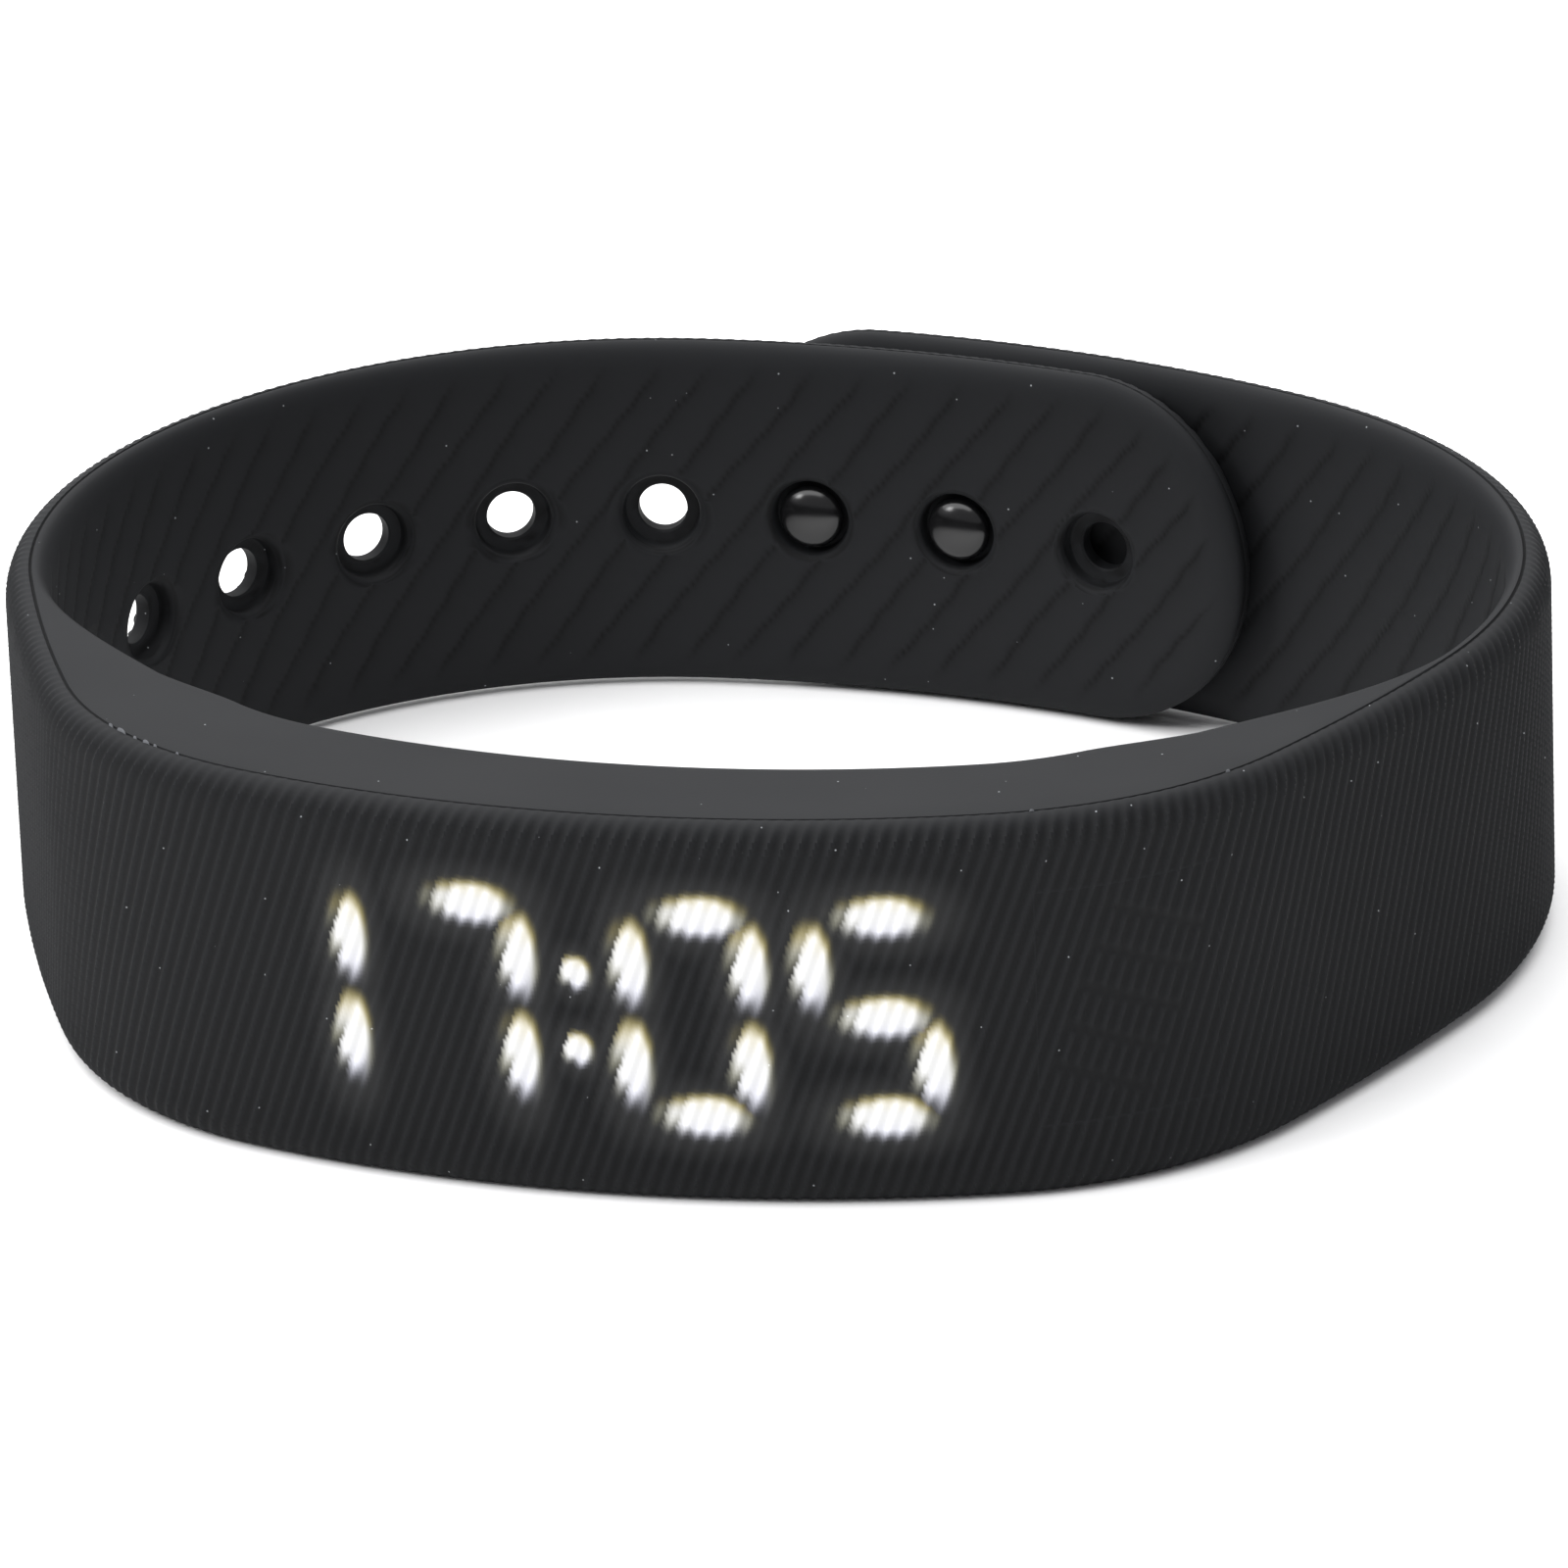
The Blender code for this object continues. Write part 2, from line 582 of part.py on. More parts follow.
def make_key():
    """The key: a silicone pad in the sleeve's window, a plunger in the case and the switch under it."""
    rest = place(KEY_PLACE, 0, MIDDLE)
    u_span = (KEY_PLACE - KEY_HALF[0], KEY_PLACE + KEY_HALF[0])
    z_span = (MIDDLE - KEY_HALF[1], MIDDLE + KEY_HALF[1])
    bent_block("key_pad", u_span, (0.0, PAD_THICK), z_span, "silicone", rest)
    crown = PAD_THICK + GAP
    foot = crown + PLUNGER_LENGTH
    plunger = turned("key_plunger", KEY_PLACE, MIDDLE, [(PLUNGER_RADIUS, crown), (PLUNGER_RADIUS, foot)],
                     "clasp", rest)
    round_off(plunger)
    depths = (foot + KEY_TRAVEL + 0.15, LED_BOARD_DEPTHS[0] - GAP)
    flat_block("tact_switch", KEY_PLACE, (-1.5, 1.5), depths, (MIDDLE - 1.5, MIDDLE + 1.5), "steel")


def main():
    """Clears the scene and makes every piece."""
    for old in list(bpy.data.objects):
        bpy.data.objects.remove(old)
    make_sleeve()
    make_hole_strap()
    make_peg_strap()
    make_clasp()
    make_front_case()
    make_rear_case()
    make_seal()
    make_case_fittings()
    make_display()
    make_electronics()
    make_key()


main()
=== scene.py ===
"""The looks of a fitness tracker band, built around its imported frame.

The band is one moulding of matte black silicone. Its outer face has fine slanted ribs that wrap over
round shoulders to a parting line, and lit digits shine through it. Its wrist side is smooth, with
shallow slanted steps, and the straps close with two glossy pegs in a row of holes.

Every surface is written in the band's own measures, in millimetres: u, the distance along the outer
face from the middle of the display (negative along the strap with the holes, positive along the strap
with the pegs), t, the depth in from the outer face, and z, the height.
"""

import logging
import math
from dataclasses import dataclass, field
from enum import Enum

import bpy
import numpy as np
from mathutils import Matrix, Vector


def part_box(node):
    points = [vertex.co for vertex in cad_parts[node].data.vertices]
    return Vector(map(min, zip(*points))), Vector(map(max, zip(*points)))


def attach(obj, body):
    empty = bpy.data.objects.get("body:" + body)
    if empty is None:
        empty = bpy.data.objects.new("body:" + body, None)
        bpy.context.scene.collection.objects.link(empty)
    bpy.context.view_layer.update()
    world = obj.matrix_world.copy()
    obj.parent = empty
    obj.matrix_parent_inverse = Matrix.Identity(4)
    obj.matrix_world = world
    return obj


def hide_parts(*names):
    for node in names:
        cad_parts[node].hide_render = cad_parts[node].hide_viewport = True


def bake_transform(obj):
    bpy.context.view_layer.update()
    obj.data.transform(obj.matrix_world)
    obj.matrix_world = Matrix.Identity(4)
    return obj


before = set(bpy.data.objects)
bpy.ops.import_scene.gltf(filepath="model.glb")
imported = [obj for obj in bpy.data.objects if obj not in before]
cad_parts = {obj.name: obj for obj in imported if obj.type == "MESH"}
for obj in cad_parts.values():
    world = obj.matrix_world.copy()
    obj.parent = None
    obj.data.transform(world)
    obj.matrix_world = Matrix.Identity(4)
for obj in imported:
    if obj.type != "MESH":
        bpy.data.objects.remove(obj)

Array = np.ndarray
Look = bpy.types.Material
Piece = bpy.types.Object
Span = tuple[float, float]

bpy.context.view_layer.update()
MM = 0.001
# painted shade: SHADOW is the colour that the painted crease shade darkens towards
SHADOW = "#020202"             # the darkest that a crease gets
OFF_ROWS = 0.013               # radians by which a turned piece starts off the skins' own rows
HOLE_TIP_CENTRE = 123.4        # where the half circle starts that ends the strap with the holes
PEGGED_HOLES = slice(1, 3)     # the holes that hold the pegs, counted from the tip
TIP_PAST_PEG = 6.0             # from the last peg to the tip of its strap
LOG = logging.getLogger("band")


class Side(Enum):
    """The two straps, by the sign of u along each."""

    HOLES = -1
    PEGS = 1


class Zone(Enum):
    """The stretches of a section's outline."""

    OUTER = "outer face with its shoulders"
    TOP = "smooth top face"
    INNER = "wrist side"
    BOTTOM = "smooth bottom face"


# ---------------------------------------------------------------- formulae of the band's shape


def smooth(value: Array) -> Array:
    """0 up to 0, 1 from 1, and the curve 3v^2 - 2v^3 between."""
    value = np.clip(value, 0.0, 1.0)
    return value * value * (3 - 2 * value)


def fade(u: Array, span: tuple[float, float]) -> Array:
    """1 near the display, 0 out on the strap, and a smooth change over span."""
    return 1 - smooth((np.abs(u) - span[0]) / (span[1] - span[0]))


@dataclass(frozen=True)
class BandLine:
    """The outer face's line seen from above: tangent arcs that end on the curve of the back.

    Attributes:
        arcs: length and radius of the arcs on each side, from the display's middle.
        back_centre: centre of the back curve, from the display's middle.
        back_radius: the back curve's radius under the strap with the holes.
        overlap: how much further out the strap with the pegs lies.
    """

    arcs: tuple[tuple[float, float], ...] = ((18.5, 60.0), (16.0, 20.0), (14.5, 125.0))
    back_centre: tuple[float, float] = (-6.5, 3.0)
    back_radius: float = 62.0
    overlap: float = 2.5

    def radius_at_back(self, side: Side) -> float:
        """The outer face's radius on the back curve."""
        return self.back_radius + (self.overlap if side is Side.PEGS else 0.0)

    def chain(self, side: Side) -> Array:
        """The arcs of one side, drawn to the right.

        The arc before the back curve is the one circle that is tangent to the last given arc and,
        from inside, to the back curve.

        Args:
            side: the strap.

        Returns:
            One row per arc: where it starts, radius, and x, y and heading at its start.
        """
        rows = []
        done = x = y = heading = 0.0
        for length, radius in self.arcs:
            rows.append((done, radius, x, y, heading))
            x, y, heading = self.advance(x, y, heading, radius, length)
            done += length
        back_radius = self.radius_at_back(side)
        back = np.array((side.value * self.back_centre[0] - x, self.back_centre[1] - y))
        inward = np.array((-math.sin(heading), math.cos(heading)))
        radius = (back @ back - back_radius**2) / (2 * (back @ inward - back_radius))
        outward = radius * inward - back
        meeting = math.atan2(outward[0], -outward[1]) % math.tau
        length = (meeting - heading) * radius
        rows.append((done, radius, x, y, heading))
        x, y, heading = self.advance(x, y, heading, radius, length)
        rows.append((done + length, back_radius, x, y, heading))
        return np.array(rows)

    @staticmethod
    def advance(x: float, y: float, heading: float, radius: float, length: float) -> tuple[float, ...]:
        """Follows an arc that turns left.

        Args:
            x, y, heading: where the arc starts, and its direction there.
            radius, length: the arc.

        Returns:
            x, y and heading at its end.
        """
        turned = heading + length / radius
        x += radius * (math.sin(turned) - math.sin(heading))
        y += radius * (math.cos(heading) - math.cos(turned))
        return x, y, turned

    def walk(self, side: Side, distance: Array) -> tuple[Array, Array, Array]:
        """Follows the line: the arc that a distance falls on, and how far round it the distance lies.

        Args:
            side: the strap, which is drawn to the right whichever it is.
            distance: distances from the display's middle.

        Returns:
            x, y and heading at each distance.
        """
        rows = self.chain(side)
        at = np.clip(np.searchsorted(rows[:, 0], distance, side="right") - 1, 0, len(rows) - 1)
        start, radius, x, y, heading = np.moveaxis(rows[at], -1, 0)
        turned = heading + (distance - start) / radius
        x = x + radius * (np.sin(turned) - np.sin(heading))
        y = y + radius * (np.cos(heading) - np.cos(turned))
        return x, y, turned

    def back_place(self, side: Side, other: Side, distance: float) -> float:
        """Finds what lies over a place of the other strap: the same direction from the back's centre.

        Args:
            side: the strap to measure along.
            other: the strap that the place is on.
            distance: the place, on the back curve.

        Returns:
            The distance along the first strap.
        """
        rows, other_rows = self.chain(side), self.chain(other)
        start, radius, _, _, heading = other_rows[-1]
        facing = other.value * (math.pi - heading - (distance - start) / radius)
        start, radius, _, _, heading = rows[-1]
        return start + (math.pi - side.value * facing - heading) * radius


LINE = BandLine()


@dataclass(frozen=True)
class Section:
    """The band's section: sizes of the silicone in millimetres and the formula of its surface.

    Attributes:
        module_width, strap_width: height of the band as it stands.
        module_thick, strap_thick: from the outer face to the wrist side.
        strap_middle: height of the straps' middle line.
        thinning, narrowing: where the module's sizes run out into the strap's.
        shoulder, shoulder_rise: depth and height of the oval rounding of the outer edges.
        edge, strap_edge: depth and height of the oval rounding of the wrist side's edges, on the module
            and on the straps.
        seam_width, seam_depth: the parting line's groove beside each shoulder.
        rib_pitch, rib_depth, rib_lean: ribs of the outer face, and how far they lean per mm of height.
        rib_ending: share of the ribs that is lost over a shoulder, and the angles in radians at which
            that starts and how much further on it is done.
        valley_shade: painted shade in the valleys between them, as a share of a full crease's.
        step_pitch, step_depth, step_lean: the shallow steps of the wrist side, like a saw's teeth.
        step_edge: share of a step at which it turns back, in a crease.
        crease_share, crease_width: the crease's part of the step's depth, and its width in steps.
        step_margin: distance from the band's edge where the steps start, and over which they grow.
        step_start: where along the band they start.
        row_gap: distance between the mesh's rows across the outer face.
        round_rows: number of rows over a rounded edge.
    """

    module_width: float = 18.8
    strap_width: float = 18.2
    module_thick: float = 7.6
    strap_thick: float = 2.2
    strap_middle: float = 9.35
    thinning: tuple[float, float] = (26.0, 50.0)
    narrowing: tuple[float, float] = (20.0, 50.0)
    shoulder: float = 1.2
    shoulder_rise: float = 1.55
    edge: tuple[float, float] = (0.4, 0.4)
    strap_edge: tuple[float, float] = (0.75, 1.7)
    seam_width: float = 0.16
    seam_depth: float = 0.12
    rib_pitch: float = 0.72
    rib_depth: float = 0.16
    rib_lean: float = 0.36
    rib_ending: tuple[float, float, float] = (0.85, 0.5, 0.9)
    valley_shade: float = 0.75
    step_pitch: float = 2.75
    step_depth: float = 0.11
    step_lean: float = -0.82
    step_edge: float = 0.93
    crease_share: float = 0.55
    crease_width: float = 0.06
    step_margin: tuple[float, float] = (0.8, 1.6)
    step_start: tuple[float, float] = (27.0, 36.0)
    row_gap: float = 0.2
    round_rows: int = 8

    @property
    def middle(self) -> float:
        """Height of the module's middle."""
        return self.module_width / 2

    @property
    def tip_radius(self) -> float:
        """Radius of the straps' round ends."""
        return self.strap_width / 2

    def thick(self, u: Array) -> Array:
        """Thickness at u."""
        return self.strap_thick + (self.module_thick - self.strap_thick) * fade(u, self.thinning)

    def height(self, u: Array) -> Array:
        """Height of the middle line at u."""
        return self.strap_middle + (self.middle - self.strap_middle) * fade(u, self.narrowing)

    def half_width(self, u: Array, tip: float) -> Array:
        """Half of the width at u: that of the strap or module, then a half circle past tip.

        Args:
            u: places along the band.
            tip: where the strap's half circle starts.

        Returns:
            Half widths.
        """
        width = self.strap_width + (self.module_width - self.strap_width) * fade(u, self.narrowing)
        past = np.clip(np.abs(u) - tip, 0.0, self.tip_radius)
        return np.where(past > 0, np.sqrt(self.tip_radius**2 - past**2), width / 2)

    def outline_distance(self, u: Array, rise: Array, tip: float) -> Array:
        """How far a point lies inside the band's outline, seen square to its face.

        Args:
            u, rise: places along the band, and above or below its middle line.
            tip: where the strap's half circle starts.

        Returns:
            Distances to the straight edge, or past tip to the half circle, and 0 outside.
        """
        past = np.clip(np.abs(u) - tip, 0.0, None)
        straight = self.half_width(u, tip) - np.abs(rise)
        rounded = self.tip_radius - np.hypot(past, rise)
        return np.clip(np.where(past > 0, rounded, straight), 0.0, None)

    def ribs(self, u: Array, across: Array) -> Array:
        """Height of the ribs from 0 in the valleys to 1 on the crests: a raised cosine, squared."""
        turn = (u - self.rib_lean * across) / self.rib_pitch
        return (0.5 + 0.5 * np.cos(math.tau * turn)) ** 2

    def steps(self, u: Array, rise: Array) -> Array:
        """Depth of the wrist side's steps: a saw tooth, cubed, and a bell-shaped crease at its edge.

        Two slow sine waves make the edge waver, by 0.12 and 0.05 mm.

        Args:
            u, rise: places on the wrist side.

        Returns:
            Depths from 0 to 1.
        """
        waver = 0.12 * np.sin(1.3 * rise + 0.7 * u) + 0.05 * np.sin(3.1 * rise - 1.3 * u)
        turn = (u - self.step_lean * rise + waver) / self.step_pitch
        tooth = turn - np.floor(turn)
        back = 1 - self.step_edge
        off = np.minimum(np.abs(tooth - self.step_edge), tooth + back) / self.crease_width
        saw = np.where(tooth < self.step_edge, tooth / self.step_edge, (1 - tooth) / back)
        return (1 - self.crease_share) * saw**3 + self.crease_share * np.exp(-(off**2))

    def outer(self, u: Array, share: Array, tip: float) -> tuple[Array, Array, Array]:
        """Depth t, rise from the middle line and painted shade on the outer face.

        The face is flat, then a quarter of an ellipse over each shoulder. The ribs take depth off along
        the surface's normal, so their crests keep the band's size.

        Args:
            u: places along the band, as a column.
            share: rise as a share of the half width, as a row.
            tip: where the strap's half circle starts.

        Returns:
            Depth, rise and painted shade of each point, the shade darkest in the valleys between the ribs.
        """
        rise = share * self.half_width(u, tip)
        inside = self.outline_distance(u, rise, tip)
        lean = np.clip((self.shoulder_rise - inside) / self.shoulder_rise, 0.0, 1.0)
        angle = np.arcsin(lean)
        depth = self.shoulder * (1 - np.cos(angle))
        across = rise + np.sign(rise) * self.shoulder * (angle - lean)
        lost, first, more = self.rib_ending
        ending = 1 - lost * smooth((angle - first) / more)
        taken = self.rib_depth * (1 - self.ribs(u, across)) * ending
        facing = np.arctan2(lean / self.shoulder_rise, np.cos(angle) / self.shoulder)
        # painted shade, darkest in the valleys between the ribs
        darker = self.valley_shade * taken / self.rib_depth
        return depth + taken * np.cos(facing), rise - np.sign(rise) * taken * np.sin(facing), darker

    def inner(self, u: Array, share: Array, tip: float) -> tuple[Array, Array, Array]:
        """The wrist side: shallow steps, and a quarter of an ellipse at each edge.

        Args:
            u: places along the band, as a column.
            share: rise as a share of the half width, as a row.
            tip: where the strap's half circle starts.

        Returns:
            Depth t, rise and painted shade of each point, the shade darkest in the steps' creases.
        """
        rise = share * self.half_width(u, tip)
        inside = self.outline_distance(u, rise, tip)
        deep, tall = self.edge_at(u)
        lean = np.clip((tall - inside) / tall, 0.0, 1.0)
        round_off = deep * (1 - np.sqrt(1 - lean**2))
        creases = self.creases(u, rise, tip)
        # the steps' creases sink the surface and also carry painted shade
        return self.thick(u) - round_off - self.step_depth * creases, rise, creases

    def edge_at(self, u: Array) -> tuple[Array, Array]:
        """Depth and height of the rounding of the wrist side's edges at u."""
        on_module = fade(u, self.thinning)
        return tuple(out + (near - out) * on_module for near, out in zip(self.edge, self.strap_edge))

    def creases(self, u: Array, rise: Array, tip: float) -> Array:
        """The steps of the wrist side, which fade out towards the edges and on the module.

        Args:
            u, rise: places on the wrist side.
            tip: where the strap's half circle starts.

        Returns:
            Depths from 0 to 1.
        """
        inside = self.outline_distance(u, rise, tip)
        start, growth = self.step_margin
        shown = smooth((inside - start) / growth) * (1 - fade(u, self.step_start))
        return self.steps(u, rise) * shown

    def shares(self, radius: float, gap: float) -> Array:
        """Places the mesh's rows: evenly over the flat, and in equal turns over each round edge.

        Args:
            radius: height of the round edge.
            gap: distance between rows over the flat.

        Returns:
            Rise of each row as a share of the half width.
        """
        reference = self.strap_width / 2
        flat = reference - radius
        count = round(2 * flat / gap)
        turns = np.linspace(0, math.pi / 2, self.round_rows + 1)[1:]
        round_rows = flat + radius * np.sin(turns)
        rows = np.concatenate((-round_rows[::-1], np.linspace(-flat, flat, count + 1), round_rows))
        return rows / reference

    def wall(self, u: Array, tip: float, sign: int) -> tuple[Array, Array, Array]:
        """The smooth top or bottom face, from the shoulder in.

        The parting line is a groove beside the shoulder, with a low round lip past it.

        Args:
            u: places along the band, as a column.
            tip: where the strap's half circle starts.
            sign: +1 for the top face and -1 for the bottom.

        Returns:
            Depth t, rise and painted shade of each point, the shade darkest in the parting line's groove.
        """
        half = self.half_width(u, tip)
        far = self.thick(u) - self.edge_at(u)[0]
        near = self.shoulder + self.seam_width
        groove = self.shoulder + self.seam_width * np.array((0.15, 0.5, 0.85, 1.0))
        shares = np.array((0.06, 0.25, 0.5, 0.75, 0.94))
        depth = np.concatenate(
            (np.broadcast_to(groove, (len(u), len(groove))), near + (far - near) * shares), axis=1
        )
        sunk = np.array((0.6, 1.0, 0.7, 0.15) + (0.0,) * len(shares)) * self.seam_depth
        rise = half - np.minimum(sunk, 0.5 * half)
        # painted shade in the parting line's groove, as deep as the groove is sunk
        return depth, sign * rise, np.broadcast_to(sunk / self.seam_depth, depth.shape)

    def rings(self, u: Array, tip: float, inner_gap: float) -> dict[Zone, tuple[Array, Array, Array]]:
        """The whole outline at each u, zone by zone, in order round the section.

        Args:
            u: places along the band.
            tip: where the strap's half circle starts.
            inner_gap: distance between the mesh's rows across the wrist side.

        Returns:
            Depth, rise and painted shade of each zone's points, with a row of the arrays for each place.
        """
        column = u[:, None]
        outer_rows = self.shares(self.shoulder_rise, self.row_gap)[None]
        inner_rows = self.shares(self.strap_edge[1], inner_gap)[None, ::-1]
        bottom = self.wall(column, tip, -1)
        return {
            Zone.OUTER: self.outer(column, outer_rows, tip),
            Zone.TOP: self.wall(column, tip, 1),
            Zone.INNER: self.inner(column, inner_rows, tip),
            Zone.BOTTOM: tuple(part[:, ::-1] for part in bottom),
        }


SECTION = Section()
SLEEVE_LOW, SLEEVE_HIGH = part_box("band_sleeve")
ORIGIN = np.array(((SLEEVE_LOW.x + SLEEVE_HIGH.x) / 2, SLEEVE_LOW.y, SLEEVE_LOW.z))


def place(u: Array, t: Array, z: Array, across: Array = 0.0) -> Array:
    """Points in metres.

    The point lies on the band's line at u, moved in by t along the normal, up by z, and by across
    along the straight line that touches u.

    Args:
        u, t, z, across: measures in millimetres, of shapes that broadcast together.

    Returns:
        Points, with x, y and z along the last axis.
    """
    u, t, z, across = np.broadcast_arrays(*(np.asarray(a, float) for a in (u, t, z, across)))
    sign = np.where(u < 0, -1.0, 1.0)
    holes = LINE.walk(Side.HOLES, np.abs(u))
    pegs = LINE.walk(Side.PEGS, np.abs(u))
    x, y, heading = (np.where(u < 0, a, b) for a, b in zip(holes, pegs))
    x = sign * (x - t * np.sin(heading)) + across * np.cos(heading)
    y = y + t * np.cos(heading) + across * sign * np.sin(heading)
    return np.stack((x, y, z), axis=-1) * MM + ORIGIN


# ---------------------------------------------------------------- meshes


def make_mesh(name: str, points: Array, faces: list[Array]) -> Piece:
    """A piece at the origin from points and faces, turned so that its faces point outwards.

    Args:
        name: the piece's name.
        points: its vertices in metres.
        faces: arrays of vertex numbers, one row per face, each array with its own count of corners.

    Returns:
        The object, linked to the scene.
    """
    fans = [block[:, (0, i, i + 1)] for block in faces for i in range(1, block.shape[1] - 1)]
    corners = points[np.concatenate(fans)] - points.mean(0)
    volume = np.einsum("ij,ij->", corners[:, 0], np.cross(corners[:, 1], corners[:, 2]))
    if volume < 0:
        faces = [block[:, ::-1] for block in faces]
    counts = np.concatenate([np.full(len(block), block.shape[1]) for block in faces])
    mesh = bpy.data.meshes.new(name)
    mesh.vertices.add(len(points))
    mesh.vertices.foreach_set("co", points.astype(np.float32).ravel())
    mesh.loops.add(int(counts.sum()))
    mesh.loops.foreach_set("vertex_index", np.concatenate([b.ravel() for b in faces]).astype(np.int32))
    mesh.polygons.add(len(counts))
    mesh.polygons.foreach_set("loop_start", (np.cumsum(counts) - counts).astype(np.int32))
    mesh.update(calc_edges=True)
    mesh.validate()
    piece = bpy.data.objects.new(name, mesh)
    bpy.context.scene.collection.objects.link(piece)
    return piece


def tube(name: str, rings: Array) -> Piece:
    """A closed piece through rings of points.

    Ring i joins ring i + 1 with a quad between each two neighbours, and both ends get a flat cap.

    Args:
        name: the piece's name.
        rings: points of shape (rings, points in a ring, 3).

    Returns:
        The piece.
    """
    count, size, _ = rings.shape
    index = np.arange(count * size).reshape(count, size)
    after = np.roll(index, -1, axis=1)
    quads = np.stack((index[:-1], after[:-1], after[1:], index[1:]), axis=-1).reshape(-1, 4)
    caps = np.stack((index[0][::-1], index[-1]))
    return make_mesh(name, rings.reshape(-1, 3), [quads, caps])


def turned(name: str, u: float, z: float, profile: Array, sides: int = 48) -> Piece:
    """A profile turned about the line that stands square on the band.

    Args:
        name: the piece's name.
        u, z: where the line stands.
        profile: rows of radius and depth.
        sides: number of corners round it.

    Returns:
        The piece.
    """
    angle = np.linspace(0, math.tau, sides, endpoint=False) + OFF_ROWS
    radius, depth = profile[:, 0, None], profile[:, 1, None]
    rings = place(u, depth, z + radius * np.sin(angle), radius * np.cos(angle))
    return tube(name, rings)


def block(name: str, u_span: Span, t_span: Span, z_span: Span, gap: float = 0.5) -> Piece:
    """A block that follows the band's curve: a rectangle of t and z carried along u.

    Args:
        name: the piece's name.
        u_span, t_span, z_span: its ends, depths and heights.
        gap: distance between its sections.

    Returns:
        The piece.
    """
    count = max(2, round((u_span[1] - u_span[0]) / gap) + 1)
    u = np.linspace(*u_span, count)[:, None]
    t = np.array((t_span[0], t_span[1], t_span[1], t_span[0]))
    z = np.array((z_span[0], z_span[0], z_span[1], z_span[1]))
    return tube(name, place(u, t, z))


def combine(piece: Piece, tools: list[Piece], operation: str = "DIFFERENCE") -> None:
    """Cuts the tools from a piece, or joins them on, and removes the tools.

    Args:
        piece: what is changed, in place.
        tools: the shapes to cut or join.
        operation: DIFFERENCE to cut and UNION to join.
    """
    for tool in tools:
        change = piece.modifiers.new(operation.lower(), "BOOLEAN")
        change.operation = operation
        change.object = tool
    bpy.context.view_layer.update()
    evaluated = piece.evaluated_get(bpy.context.evaluated_depsgraph_get())
    old, name = piece.data, piece.name
    piece.data = bpy.data.meshes.new_from_object(evaluated)
    piece.modifiers.clear()
    bpy.data.meshes.remove(old)
    piece.data.name = name
    for tool in tools:
        bpy.data.objects.remove(tool)


def finish_piece(piece: Piece, look: Look, sharp: float = 42.0) -> None:
    """Shades a piece smooth, gives it its finish and logs it.

    Args:
        piece: the piece.
        look: its material.
        sharp: angle in degrees above which an edge stays sharp.
    """
    piece.data.shade_smooth()
    piece.data.set_sharp_from_angle(angle=math.radians(sharp))
    piece.data.materials.clear()
    piece.data.materials.append(look)
    LOG.info("%s: %d faces", piece.name, len(piece.data.polygons))


def skin(name: str, u: Array, tip: float = math.inf, inner_gap: float = 0.3) -> Piece:
    """The silicone between two places: the section's outline carried along the band.

    Args:
        name: the piece's name.
        u: places along the band, one for each column of the mesh.
        tip: where the strap's half circle starts.
        inner_gap: distance between the mesh's rows across the wrist side.

    Returns:
        The piece, with its painted shade stored under the name crease.
    """
    zones = SECTION.rings(u, tip, inner_gap).values()
    depth, rise, darker = (np.concatenate(parts, axis=1) for parts in zip(*zones))
    piece = tube(name, place(u[:, None], depth, SECTION.height(u)[:, None] + rise))
    store(piece, "crease", darker)
    return piece


def store(piece: Piece, name: str, values: Array) -> None:
    """Stores one number for each vertex under a name, for the piece's material."""
    layer = piece.data.attributes.new(name, "FLOAT", "POINT")
    layer.data.foreach_set("value", values.astype(np.float32).ravel())


def columns(start: float, end: float, gap: float = 0.1) -> Array:
    """Places from start to end, one for each column of the mesh."""
    return np.linspace(start, end, round(abs(end - start) / gap) + 1)


# ---------------------------------------------------------------- finishes


def linear(colour: str) -> tuple[float, float, float, float]:
    """Turns an sRGB hex value to linear.

    Args:
        colour: # and six hex digits.

    Returns:
        Red, green, blue and alpha.
    """
    value = np.array([int(colour[i : i + 2], 16) for i in (1, 3, 5)]) / 255
    value = np.where(value <= 0.04045, value / 12.92, ((value + 0.055) / 1.055) ** 2.4)
    return (*value.tolist(), 1.0)


def add_node(tree: bpy.types.NodeTree, kind: str, inputs: dict | None = None, **settings) -> bpy.types.Node:
    """Adds a node with its settings, values and links.

    Args:
        tree: the material's node tree.
        kind: the node's type.
        inputs: socket name or number to a value, or to an output socket to link from.
        settings: the node's own properties.

    Returns:
        The node.
    """
    node = tree.nodes.new(kind)
    for name, value in settings.items():
        setattr(node, name, value)
    for key, value in (inputs or {}).items():
        if isinstance(value, bpy.types.NodeSocket):
            tree.links.new(value, node.inputs[key])
        else:
            node.inputs[key].default_value = value
    return node


def new_look(name: str) -> tuple[Look, bpy.types.NodeTree, bpy.types.NodeSocket]:
    """Makes an empty material.

    Args:
        name: its name.

    Returns:
        The material, its node tree and its Object coordinates.
    """
    look = bpy.data.materials.new(name)
    look.use_nodes = True
    look.node_tree.nodes.clear()
    place_node = add_node(look.node_tree, "ShaderNodeTexCoord")
    return look, look.node_tree, place_node.outputs["Object"]


